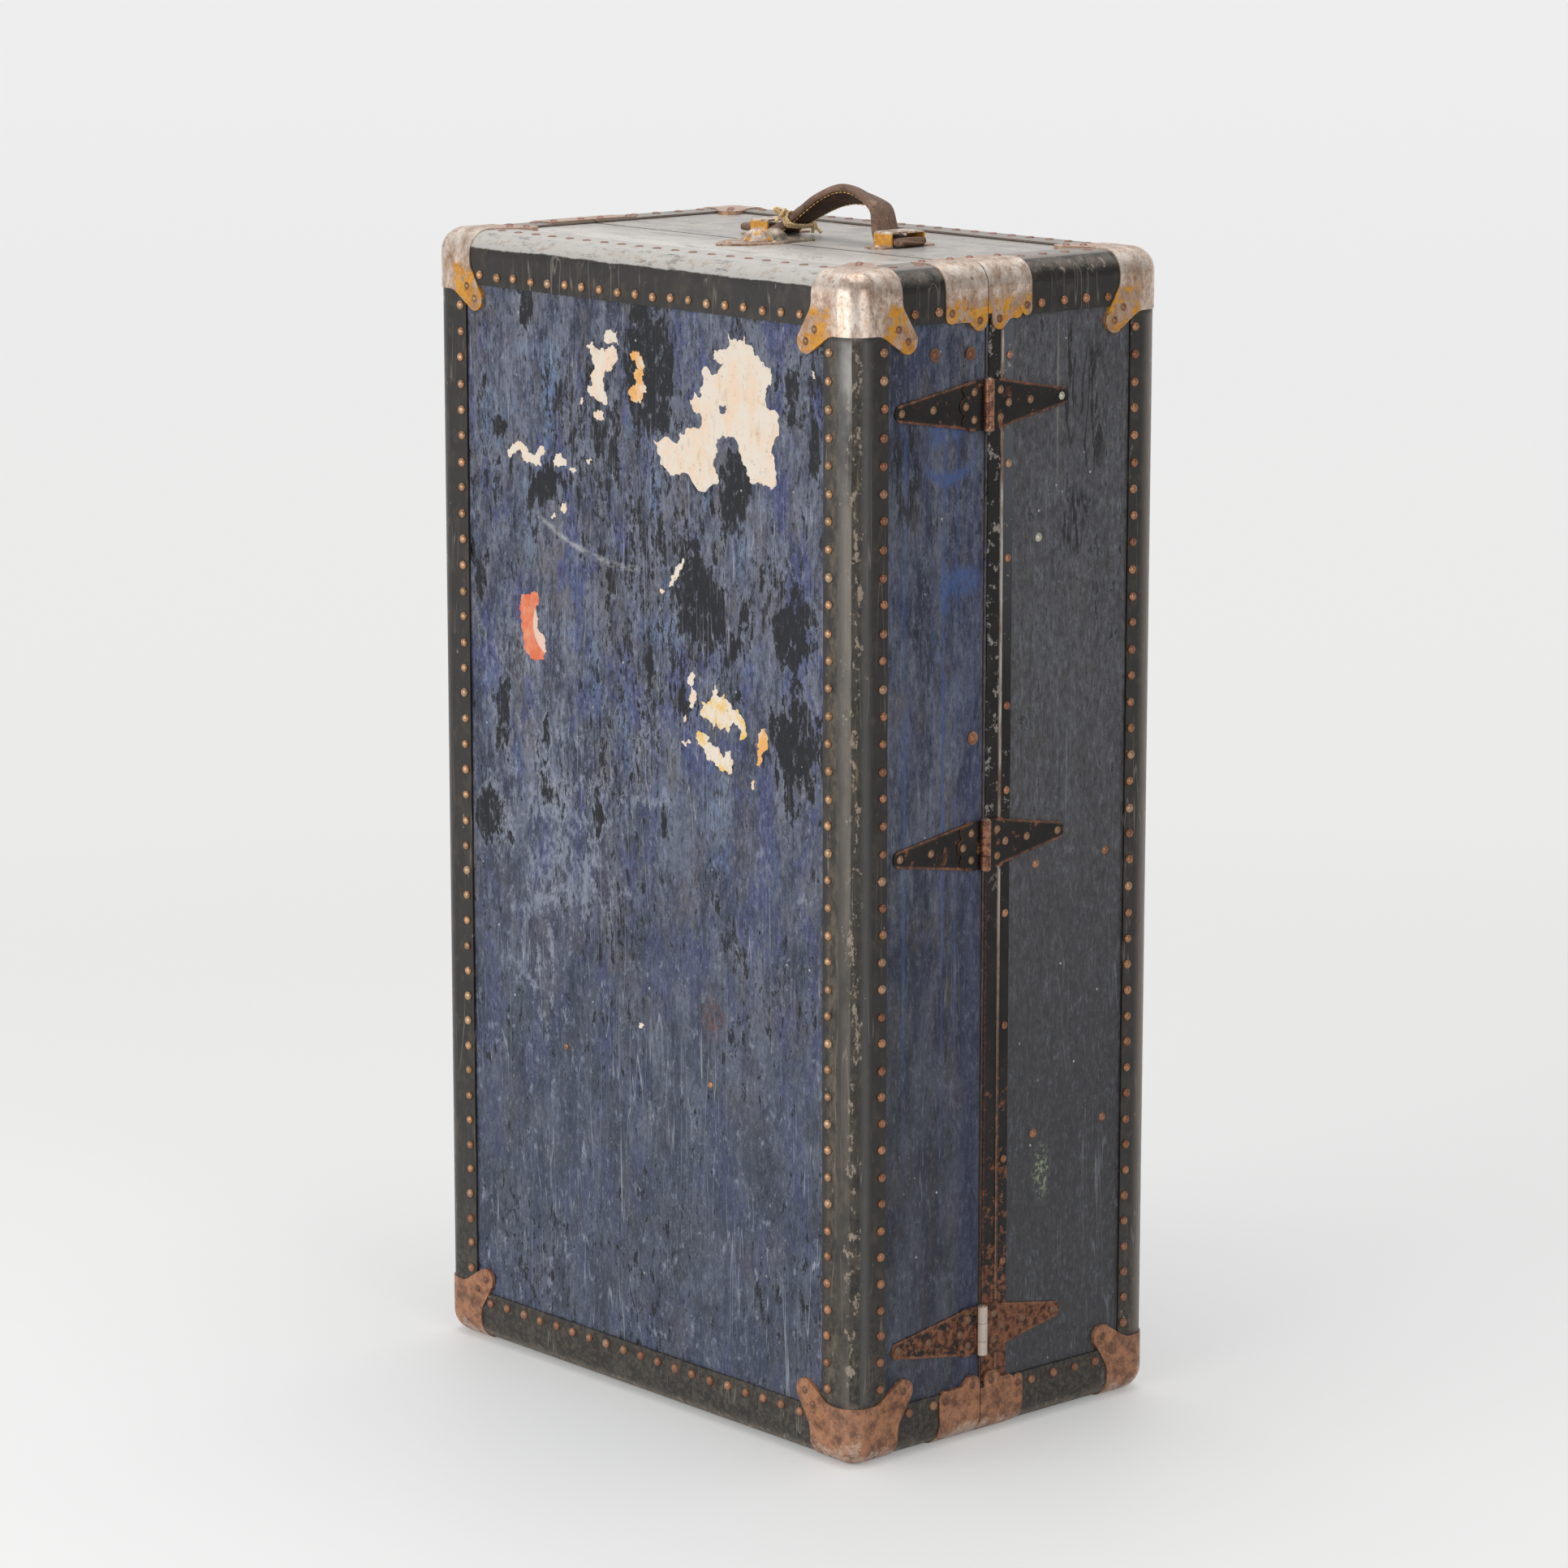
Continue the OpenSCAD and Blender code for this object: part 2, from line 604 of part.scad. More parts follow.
// Top dowel: a leaf-shaped plate with a socket dome in front, a plate with a plug behind
plate_t = 1.6;
vane_r = (pow(dowel_w / 2, 2) + pow(dowel_leaf, 2)) / dowel_w;
dome_y = 9;                                  // the domes' middle, from the parting
nose_r = 2.3;
module dome(r) {
    intersection() {
        translate([0, dome_y, -1]) sphere(r);
        translate([-2 * r, rim / 2, plate_t]) cube([4 * r, 4 * r, 2 * r]);
    }
}

// Hasps: drawn with the covering at z = 0, the pin along X at y = 0, the folded plate along +Y
hasp_r = 3.4;
hasp_pin_r = 1.7;
hasp_play = 0.05;
hasp_t = 1.8;
hasp_face = hasp_up + 0.3;                   // underside of a folded plate
staple_y = hasp_len - 22;
staple_t = 3;
staple_w = 12;
staple_plate = 32;
eye_r = 2.6;
base_t = 1.6;
at_hasp_zs = [mid_z, mid_z + hasp_pitch, mid_z - hasp_pitch];
lock_rise = 3.9;
module at_hasp(z) {
    translate([-face_x, part_y + hasp_back, z]) rotate([0, -90, 0]) children();
}
module hasp_base() {
    w = hasp_w;
    difference() {
        union() {
            translate([-w / 2, -4, 0]) cube([w, 29, base_t]);
            for (s = [-1, 1]) translate([s * (w / 2 - 4.5), 0, 0]) {
                translate([-4.5, -2.6, 0]) cube([9, 5.2, hasp_up]);
                translate([-4.5, 0, hasp_up]) rotate([0, 90, 0]) cylinder(r = hasp_r, h = 9);
            }
        }
        translate([-w, 0, hasp_up]) rotate([0, 90, 0]) cylinder(r = hasp_pin_r + hasp_play, h = 2 * w);
    }
    for (s = [-1, 1]) translate([s * (w / 2 - 6), 18, base_t]) rivet_head(6, 1.4);
}
module hasp_pin() {
    translate([-hasp_w / 2, 0, hasp_up]) rotate([0, 90, 0]) cylinder(r = hasp_pin_r, h = hasp_w);
}
module hasp_plate(locking) {
    w = hasp_w - 19;
    difference() {
        union() {
            translate([-w / 2, 0, hasp_up]) rotate([0, 90, 0]) cylinder(r = hasp_r, h = w);
            translate([-w / 2, 0, hasp_face]) cube([w, 8, hasp_t]);
            translate([0, 0, hasp_face]) linear_extrude(hasp_t) {
                translate([-hasp_w / 2, 5]) square([hasp_w, hasp_len - 5 - hasp_w / 2]);
                translate([0, hasp_len - hasp_w / 2]) circle(hasp_w / 2);
            }
        }
        translate([-hasp_w, 0, hasp_up]) rotate([0, 90, 0])
            cylinder(r = hasp_pin_r + hasp_play, h = 2 * hasp_w);
        // Clears the base's knuckles
        for (s = [-1, 1]) translate([s * hasp_w / 2 - 9.5, -1, 0]) cube([19, 5.4, 2 * hasp_up]);
        if (!locking) translate([-9, staple_y - 3.6, 0]) cube([18, 7.6, 3 * hasp_up]);
    }
    if (locking) {
        difference() {
            translate([-staple_w / 2, staple_y - staple_t / 2, hasp_face + hasp_t])
                cube([staple_w, staple_t, 8.5]);
            translate([0, staple_y - staple_t, hasp_face + hasp_t + 4.2]) rotate([-90, 0, 0])
                cylinder(r = eye_r, h = 2 * staple_t);
        }
    }
}
lock_w = 60;
lock_d = 42;
slot_w = 16;
slot_d = 8;
lock_at = -staple_y - 0.4;
module lock_slot() {
    translate([-slot_w / 2, lock_at - slot_d / 2, -cover_t - 5]) cube([slot_w, slot_d, 20]);
}

// Drawers
runner_w = 20;
runner_t = 2.4;
drawer_bays = [[inner_bottom + runner_t, shelf_1 - shelf_t / 2],
    for (p = [[shelf_1, shelf_2], [shelf_2, shelf_3], [shelf_3, shelf_4]])
        [p[0] + shelf_t / 2, p[1] - shelf_t / 2]];
drawer_w = inner_w - 2 * drawer_gap;
front_y = part_y + drawer_in;
inner_back = part_y + far_d - wall_t;
module drawer(k) {
    z0 = drawer_bays[k][0] + 0.3;
    h = drawer_bays[k][1] - drawer_bays[k][0] - 4;
    depth = inner_back - front_y - 6;
    color([0.55, 0.42, 0.28])
        difference() {
            translate([-drawer_w / 2, front_y, z0]) cube([drawer_w, depth, h]);
            translate([-drawer_w / 2 + drawer_t, front_y + drawer_t, z0 + drawer_t])
                cube([drawer_w - 2 * drawer_t, depth - 2 * drawer_t, h]);
        }
}
module drawer_knobs(k) {
    z = (drawer_bays[k][0] + drawer_bays[k][1]) / 2;
    color([0.72, 0.55, 0.25])
        for (s = [-1, 1])
            translate([s * drawer_w * 0.26, front_y, z]) rotate([90, 0, 0]) {
                cylinder(d = knob_d * 0.8, h = knob_d * 0.07);
                cylinder(d = knob_d * 0.4, h = knob_d * 0.45);
                translate([0, 0, knob_d * 0.4]) cylinder(d = knob_d, h = knob_d * 0.1);
                translate([0, 0, knob_d * 0.5]) rivet_head(knob_d, knob_d * 0.17);
            }
}
module drawer_shelves() {
    y0 = part_y + tongue_in + tongue_play;
    color([0.5, 0.38, 0.26]) {
        for (z = [shelf_1, shelf_2, shelf_3, shelf_4])
            translate([-inner_w / 2, y0, z - shelf_t / 2]) cube([inner_w, inner_back - y0, shelf_t]);
        // Runners under the lowest drawer
        for (s = [-1, 1])
            translate([s * drawer_w * 0.38 - runner_w / 2, y0, inner_bottom])
                cube([runner_w, inner_back - y0, runner_t]);
    }
}

// Valance: tongues round the back half's rim that the front half closes over
tongue_t = 2;
tongue_out = 10;
tongue_in = 14;
tongue_play = 0.5;
module tongue(len) {
    // Along X, the board's face at z = 0, the front half towards -Y
    translate([-len / 2, rim, 0]) cube([len, tongue_in - rim, tongue_t]);
    translate([-len / 2, -tongue_out, tongue_play]) cube([len, tongue_out + rim, tongue_t - tongue_play]);
}

// Hanger trolley
rail_w = 36;
rail_h = 15;
rail_t = 2;
slot_open = 12;
near_inner = part_y - near_d + wall_t;
rail_stop = 18;                              // from the rail's end to the parting
rail_len = near_d - wall_t - rail_stop;
rail_y = near_inner + 1;
rod_drop = 22;
rod_z = inner_top - rail_h - rod_drop;
slider_h = 7;
slider_in = 2;                               // from the rail's ends to the slider's
post_t = 4;
module rail_profile() {
    difference() {
        translate([-rail_w / 2, -rail_h]) square([rail_w, rail_h]);
        translate([-rail_w / 2 + rail_t, -rail_h + rail_t])
            square([rail_w - 2 * rail_t, rail_h - 2 * rail_t]);
        translate([-slot_open / 2, -rail_h - 1]) square([slot_open, rail_t + 2]);
    }
}
wire_r = 1.4;
hook_play = 0.6;
hook_r = rod_r + wire_r + hook_play;
rail_free = 15;                              // at each end of the rail, beyond the hangers
hanger_pitch = (rail_len - 2 * rail_free) / hanger_n;
hook_drop = hook_r + wire_r + 26;
hook_lift = -hook_play / 2;
arc_r = 340;
// Both are drawn with the rod's axis at the origin along Y
module hook() {
    translate([0, 0, hook_lift]) {
        rotate([90, 0, 0]) rotate([0, 0, -90]) rotate_extrude(angle = 250)
            translate([hook_r, 0]) circle(wire_r, $fn = 16);
        translate([0, 0, -hook_drop]) cylinder(r = wire_r, h = hook_drop - hook_r, $fn = 16);
    }
}
module bow() {
    translate([0, 0, -hook_drop + hook_lift - arc_r]) rotate([90, 0, 0])
        linear_extrude(hanger_t, center = true) intersection() {
            difference() {
                circle(arc_r, $fn = 180);
                circle(arc_r - 26, $fn = 180);
            }
            translate([-hanger_w / 2, 0]) square([hanger_w, arc_r]);
        }
}
module each_hanger() {
    for (i = [0:hanger_n - 1])
        translate([0, rail_y + rail_free + hanger_pitch * (i + 0.5), rod_z]) children();
}

// Sub-parts of the back half
module far_face_panel() { color([0.6, 0.47, 0.31]) far_place() face_panel(far_d); }
module far_hinge_side_board() { color([0.6, 0.47, 0.31]) far_place() side_board(far_d, 1); }
module far_latch_side_board() { color([0.6, 0.47, 0.31]) far_place() side_board(far_d, -1); }
module far_top_board() { color([0.6, 0.47, 0.31]) far_place() end_board(far_d, 1); }
module far_bottom_board() { color([0.6, 0.47, 0.31]) far_place() end_board(far_d, -1); }
module far_fibre_covering() { far_place() covering(far_d); }
module far_upright_bindings() { far_place() upright_bindings(far_d); }
module far_level_bindings() { far_place() level_bindings(far_d); }
module far_end_bindings() { far_place() end_bindings(far_d); }
module far_corner_caps() { far_place() corner_caps(far_d); }
module far_edge_clamps() {
    color([0.48, 0.38, 0.3])
        far_place() for (s = [-1, 1], t = [-1, 1]) at_edge(s, t) {
            edge_clamp(far_clamp, far_lobe(), s > 0 ? bind_t - strip_t : bind_t);
            backing_plate();
        }
}
module far_cap_rivets() {
    color([0.62, 0.45, 0.3]) far_place() {
        cap_rivets(far_d);
        clamp_rivets([[far_lobe(), lobe_z, cap_t],
            [far_clamp + backing_len / 2, clamp_leg - 4, cap_t * 0.6]]);
    }
}
module hinge_edge_strip() {
    z0 = cap_t + level_leg + seam;
    z1 = 2 * mid_z - z0;
    b0 = cap_t + lobe_z + clamp_lobe_r + 1;
    clear = strap_root / 2 + 3;
    stops = concat([b0], [for (i = [2:-1:0]) each [hinge_zs[i] - clear, hinge_zs[i] + clear]],
        [2 * mid_z - b0]);
    color([0.16, 0.15, 0.15]) {
        translate([face_x, part_y + strip_in, z0]) cube([strip_t, strip_w, z1 - z0]);
        for (i = [0:2:len(stops) - 2])
            translate([face_x + strip_t, part_y + bead_at, stops[i]]) intersection() {
                cylinder(r = bead_r, h = stops[i + 1] - stops[i]);
                translate([0, -bead_r, 0]) cube([bead_r, 2 * bead_r, stops[i + 1] - stops[i]]);
            }
    }
}
module valance_tongues() {
    color([0.5, 0.36, 0.22]) {
        for (t = [0, 1]) translate([0, part_y, t > 0 ? inner_top : inner_bottom]) mirror([0, 0, t])
            tongue(inner_w - 6);
        translate([-inner_w / 2, part_y, mid_z]) rotate([0, 90, 0])
            tongue(inner_top - inner_bottom - 2 * tongue_t - 1);
    }
}
module far_hinge_straps() { color([0.2, 0.17, 0.15]) at_hinges(false) far_strap_plate(); }
module far_hinge_leaves() { color([0.24, 0.19, 0.16]) at_hinges(false) leaf(far_lift + strap_t, [1]); }
module far_hinge_rivets() {
    color([0.6, 0.4, 0.25]) {
        at_hinges(false) hinge_rivets(far_lift + 2 * strap_t, strap_t, [joggle + 8, far_strap - strap_tip_r]);
        for (p = shelf_rivets) translate([face_x, part_y + p[1], p[0]]) rotate([0, 90, 0]) rivet_head(8, 2);
    }
}
module hinge_pins() { color([0.3, 0.22, 0.18]) at_hinges(false) hinge_pin(); }
module handle_loops() {
    color([0.72, 0.56, 0.25])
        translate(at_handle) for (s = [0, 1]) mirror([s, 0, 0]) translate([-loop_out, 0, 0]) strap_loop();
}
module handle_strap() {
    color([0.33, 0.21, 0.15])
        translate(at_handle) intersection() {
            rotate([90, 0, 0]) linear_extrude(strap_w, center = true) leather_outline();
            linear_extrude(2 * arch_h) leather_plan();
        }
}
module handle_twine() {
    p = bez(arch[0], twine_t);
    v = slope(arch[0], twine_t);
    color([0.75, 0.62, 0.4])
        translate(at_handle + [p[0], 0, p[1]]) rotate([0, -atan2(v[1], v[0]), 0]) {
            cord(wraps, twine_d / 2);
            translate([0, -waist_w / 2 - knot_r - 0.5, -wrap_b * 0.5]) sphere(knot_r);
        }
}
module dowel_plug() {
    color([0.66, 0.62, 0.55]) translate([0, part_y, top_z]) {
        translate([-dowel_w * 0.44, rim / 2, 0]) cube([dowel_w * 0.88, plug_leaf - rim / 2, plate_t]);
        dome(dome_r - 1.5);
        // Nose that enters the socket
        intersection() {
            translate([0, 2, plate_t + nose_r + 0.5]) rotate([90, 0, 0])
                cylinder(r = nose_r, h = dome_y + 0.5);
            translate([-dome_r, -dome_r, plate_t]) cube(2 * dome_r);
        }
        for (s = [-1, 1])
            translate([s * dowel_w * 0.31, plug_leaf - 8, plate_t]) rivet_head(rivet_d, rivet_h);
    }
}
module hasp_bases() { color([0.6, 0.5, 0.3]) for (z = at_hasp_zs) at_hasp(z) hasp_base(); }
module hasp_pins() { color([0.5, 0.45, 0.4]) for (z = at_hasp_zs) at_hasp(z) hasp_pin(); }
module drawer_1() { drawer(0); }
module drawer_2() { drawer(1); }
module drawer_3() { drawer(2); }
module drawer_4() { drawer(3); }
module drawer_knobs_1() { drawer_knobs(0); }
module drawer_knobs_2() { drawer_knobs(1); }
module drawer_knobs_3() { drawer_knobs(2); }
module drawer_knobs_4() { drawer_knobs(3); }
module lock_hasp() { color([0.68, 0.55, 0.28]) at_hasp(at_hasp_zs[0]) hasp_plate(true); }
module upper_hasp() { color([0.68, 0.55, 0.28]) at_hasp(at_hasp_zs[1]) hasp_plate(false); }
module lower_hasp() { color([0.68, 0.55, 0.28]) at_hasp(at_hasp_zs[2]) hasp_plate(false); }

// Sub-parts of the front half
module near_face_panel() { color([0.62, 0.49, 0.33]) near_place() face_panel(near_d); }
module near_hinge_side_board() { color([0.62, 0.49, 0.33]) near_place() side_board(near_d, 1); }
module near_latch_side_board() {
    color([0.62, 0.49, 0.33]) difference() {
        near_place() side_board(near_d, -1);
        at_hasp(mid_z) lock_slot();
    }
}
module near_top_board() { color([0.62, 0.49, 0.33]) near_place() end_board(near_d, 1); }
module near_bottom_board() { color([0.62, 0.49, 0.33]) near_place() end_board(near_d, -1); }
module near_fibre_covering() {
    difference() {
        near_place() covering(near_d);
        at_hasp(mid_z) lock_slot();
    }
}
module near_upright_bindings() { near_place() upright_bindings(near_d); }
module near_level_bindings() { near_place() level_bindings(near_d); }
module near_end_bindings() { near_place() end_bindings(near_d); }
module near_corner_caps() { near_place() corner_caps(near_d); }
module near_edge_clamps() {
    color([0.5, 0.4, 0.32])
        near_place() for (s = [-1, 1], t = [-1, 1]) at_edge(s, t) edge_clamp(near_clamp, near_lobe(), bind_t);
}
module near_cap_rivets() {
    color([0.62, 0.45, 0.3]) near_place() {
        cap_rivets(near_d);
        clamp_rivets([[near_lobe(), lobe_z, cap_t], [near_clamp - 7, clamp_leg - 3, cap_t]]);
    }
}
module near_hinge_straps() { color([0.2, 0.17, 0.15]) at_hinges(true) near_strap_plate(); }
module near_hinge_leaves() { color([0.24, 0.19, 0.16]) at_hinges(true) leaf(strap_t, [0, 2]); }
module near_hinge_rivets() {
    color([0.6, 0.4, 0.25]) {
        at_hinges(true) hinge_rivets(2 * strap_t, strap_t, [leaf_len * 2, near_strap - strap_tip_r]);
        for (p = washer_rivets) translate([face_x, part_y + p[0], p[1]]) rotate([0, 90, 0]) washer_rivet();
    }
}
module dowel_socket() {
    color([0.75, 0.6, 0.3]) translate([0, part_y, top_z]) mirror([0, 1, 0]) {
        linear_extrude(plate_t) intersection() {
            translate([vane_r - dowel_w / 2, 0]) circle(vane_r, $fn = 90);
            translate([-vane_r + dowel_w / 2, 0]) circle(vane_r, $fn = 90);
            translate([-dowel_w, rim / 2]) square([2 * dowel_w, dowel_leaf + 5]);
        }
        difference() {
            dome(dome_r);
            translate([0, dome_y, -1]) sphere(dome_r - 1.6);
        }
        translate([0, dowel_leaf - 14, plate_t]) rivet_head(rivet_d, rivet_h);
        for (s = [-1, 1]) translate([s * dowel_w * 0.37, 8, plate_t]) rivet_head(5.5, 1.4);
    }
}
module lock_plate() {
    color([0.62, 0.5, 0.28]) at_hasp(mid_z) difference() {
        union() {
            translate([-lock_w / 2, lock_at - lock_d / 2, 0]) cube([lock_w, lock_d, base_t]);
            translate([-lock_w / 2 + 6, lock_at - lock_d / 2 + 5, base_t])
                cube([lock_w - 12, lock_d - 10, lock_rise - base_t]);
        }
        lock_slot();
    }
}
module hasp_staples() {
    color([0.62, 0.5, 0.28])
        for (z = [at_hasp_zs[1], at_hasp_zs[2]]) at_hasp(z) translate([0, -staple_y, 0]) {
            translate([-hasp_w / 2, -staple_plate / 2, 0]) cube([hasp_w, staple_plate, base_t]);
            difference() {
                translate([-staple_w / 2, -staple_t / 2, base_t]) cube([staple_w, staple_t, hasp_up + 4.5]);
                translate([0, -staple_t, hasp_up + 2.3])
                    rotate([-90, 0, 0]) cylinder(r = eye_r, h = 2 * staple_t);
            }
        }
}
module trolley_rail() {
    color([0.5, 0.48, 0.45])
        translate([0, rail_y + rail_len, inner_top]) rotate([90, 0, 0])
            linear_extrude(rail_len) rail_profile();
}
module hanger_trolley() {
    y0 = rail_y + slider_in;
    len = rail_len - 2 * slider_in;
    slider_w = rail_w - 2 * rail_t - 1;
    post_w = slot_open - 2;
    slider_z = inner_top - rail_h + rail_t + 0.3;
    color([0.62, 0.6, 0.56]) {
        translate([-slider_w / 2, y0, slider_z]) cube([slider_w, len, slider_h]);
        for (y = [y0, y0 + len - post_t])
            translate([-post_w / 2, y, rod_z - rod_r]) cube([post_w, post_t, slider_z + 1 - rod_z + rod_r]);
        translate([0, y0, rod_z]) rotate([-90, 0, 0]) cylinder(r = rod_r, h = len);
    }
}
module coat_hangers() { color([0.66, 0.5, 0.32]) each_hanger() bow(); }
module hanger_hooks() { color([0.6, 0.58, 0.55]) each_hanger() hook(); }

far_face_panel();
far_hinge_side_board();
far_latch_side_board();
far_top_board();
far_bottom_board();
far_fibre_covering();
far_upright_bindings();
far_level_bindings();
far_end_bindings();
far_corner_caps();
far_edge_clamps();
far_cap_rivets();
hinge_edge_strip();
valance_tongues();
far_hinge_straps();
far_hinge_leaves();
far_hinge_rivets();
hinge_pins();
handle_loops();
handle_strap();
handle_twine();
dowel_plug();
hasp_bases();
hasp_pins();
drawer_shelves();
drawer_1();
drawer_2();
drawer_3();
drawer_4();
drawer_knobs_1();
drawer_knobs_2();
drawer_knobs_3();
drawer_knobs_4();
lock_hasp();
upper_hasp();
lower_hasp();
near_face_panel();
near_hinge_side_board();
near_latch_side_board();
near_top_board();
near_bottom_board();
near_fibre_covering();
near_upright_bindings();
near_level_bindings();
near_end_bindings();
near_corner_caps();
near_edge_clamps();
near_cap_rivets();
near_hinge_straps();
near_hinge_leaves();
near_hinge_rivets();
dowel_socket();
lock_plate();
hasp_staples();
trolley_rail();
hanger_trolley();
coat_hangers();
hanger_hooks();
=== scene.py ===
"""Dresses the upright wardrobe trunk: finishes, rivet rows, leather handle, twine and paper scraps."""
import json
import math
import random

import bmesh
import bpy
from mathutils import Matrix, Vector, noise


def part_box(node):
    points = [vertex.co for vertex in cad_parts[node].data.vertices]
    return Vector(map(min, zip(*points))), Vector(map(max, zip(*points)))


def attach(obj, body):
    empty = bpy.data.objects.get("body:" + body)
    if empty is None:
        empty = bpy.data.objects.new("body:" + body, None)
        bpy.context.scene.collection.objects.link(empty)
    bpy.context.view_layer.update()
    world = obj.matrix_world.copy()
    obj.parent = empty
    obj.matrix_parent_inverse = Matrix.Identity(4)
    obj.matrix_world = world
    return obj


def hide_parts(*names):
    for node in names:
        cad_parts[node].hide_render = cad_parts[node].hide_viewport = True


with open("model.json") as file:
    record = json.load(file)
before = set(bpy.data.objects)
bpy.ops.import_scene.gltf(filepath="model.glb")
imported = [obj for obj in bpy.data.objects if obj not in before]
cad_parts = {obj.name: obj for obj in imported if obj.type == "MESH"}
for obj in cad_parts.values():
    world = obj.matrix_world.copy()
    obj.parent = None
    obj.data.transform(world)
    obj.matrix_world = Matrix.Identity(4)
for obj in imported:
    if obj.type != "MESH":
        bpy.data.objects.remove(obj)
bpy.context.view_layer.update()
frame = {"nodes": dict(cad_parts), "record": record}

bl_info = {
    "name": "Wardrobe Trunk",
    "version": (1, 0, 0),
    "blender": (4, 5, 0),
    "location": "3D View > Sidebar > Trunk",
    "description": "Dresses an upright wardrobe trunk with worn finishes, rivets, leather and paper",
    "category": "Object",
}

# The case, in metres, read from the frame
HALF_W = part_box("near_upright_bindings")[1].x     # face of the bindings on the sides
FRONT_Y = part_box("near_upright_bindings")[0].y    # face of the bindings on the front
BACK_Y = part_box("far_upright_bindings")[1].y
FOOT_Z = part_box("near_level_bindings")[0].z
HEAD_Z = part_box("near_level_bindings")[1].z
COVER_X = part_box("near_fibre_covering")[1].x      # face of the covering on the hinge side
COVER_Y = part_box("near_fibre_covering")[0].y      # face of the covering on the front
COVER_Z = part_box("near_fibre_covering")[1].z      # face of the covering on top
PART_Y = (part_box("near_fibre_covering")[1].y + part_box("far_fibre_covering")[0].y) / 2
MM = 0.001


def srgb(red, green, blue):
    """Turns screen values from 0 to 255 into a linear colour."""
    def linear(v):
        v = v / 255
        return v / 12.92 if v <= 0.04045 else ((v + 0.055) / 1.055) ** 2.4
    return (linear(red), linear(green), linear(blue), 1.0)


# ---- Shader values -------------------------------------------------------------------------

class Value:
    """A shader socket that Python's operators work on."""

    def __init__(self, finish, socket):
        self.finish, self.socket = finish, socket

    def math(self, operation, *others):
        return self.finish.add("ShaderNodeMath", {"operation": operation}, (self, *others))

    def turned(self, operation, other):
        return self.finish.add("ShaderNodeMath", {"operation": operation}, (other, self))

    def __add__(self, other): return self.math("ADD", other)
    def __radd__(self, other): return self.turned("ADD", other)
    def __sub__(self, other): return self.math("SUBTRACT", other)
    def __rsub__(self, other): return self.turned("SUBTRACT", other)
    def __mul__(self, other): return self.math("MULTIPLY", other)
    def __rmul__(self, other): return self.turned("MULTIPLY", other)
    def __truediv__(self, other): return self.math("DIVIDE", other)
    def __abs__(self): return self.math("ABSOLUTE")

    def lower(self, other): return self.math("MINIMUM", other)
    def higher(self, other): return self.math("MAXIMUM", other)

    def step(self, low, high):
        """Rises smoothly from 0 at low to 1 at high."""
        return self.finish.add("ShaderNodeMapRange", {"interpolation_type": "SMOOTHSTEP"},
                               {"Value": self, "From Min": low, "From Max": high})

    def fall(self, low, high):
        """Falls smoothly from 1 at low to 0 at high."""
        return self.step(high, low)

    def past(self, place, low, high):
        """Rises from 0 to 1 between low and high millimetres past a place."""
        return self.step(place + low * MM, place + high * MM)

    def until(self, place, low, high):
        """Falls from 1 to 0 between low and high millimetres past a place."""
        return self.past(place, high, low)

    def band(self, middle, width):
        """Is 1 at middle and falls to 0 over width on each side."""
        return abs(self - middle).fall(0, width)


class Graph:
    """Adds nodes to a shader tree and links what they are given."""

    def __init__(self, tree):
        self.nodes, self.links = tree.nodes, tree.links

    def add(self, kind, settings=None, inputs=(), out=0):
        """Adds a node: its settings first, then the values or links of its sockets."""
        node = self.nodes.new(kind)
        for name, value in (settings or {}).items():
            setattr(node, name, value)
        named = inputs.items() if isinstance(inputs, dict) else enumerate(inputs)
        for key, value in named:
            self.feed(node.inputs[key], value)
        return Value(self, node.outputs[out])

    def feed(self, socket, value):
        """Links a value, or sets it; a colour may be given by its three screen values."""
        if isinstance(value, Value):
            self.links.new(value.socket, socket)
        elif socket.type == "RGBA" and len(value) == 3:
            socket.default_value = srgb(*value)
        else:
            socket.default_value = value

    def axes(self, place):
        split = self.add("ShaderNodeSeparateXYZ", inputs={"Vector": place}).socket.node
        return [Value(self, split.outputs[axis]) for axis in "XYZ"]

    def mix(self, amount, under, over):
        """Lays one colour over another."""
        return self.add("ShaderNodeMix", {"data_type": "RGBA"}, {0: amount, 6: under, 7: over}, 2)

    def seen(self):
        """Is 1 for what the camera sees, straight or in a shiny or clear surface."""
        kinds = ("Camera", "Glossy", "Transmission")
        rays = [self.add("ShaderNodeLightPath", out=f"Is {kind} Ray") for kind in kinds]
        return (rays[0] + rays[1] + rays[2]).lower(1.0)


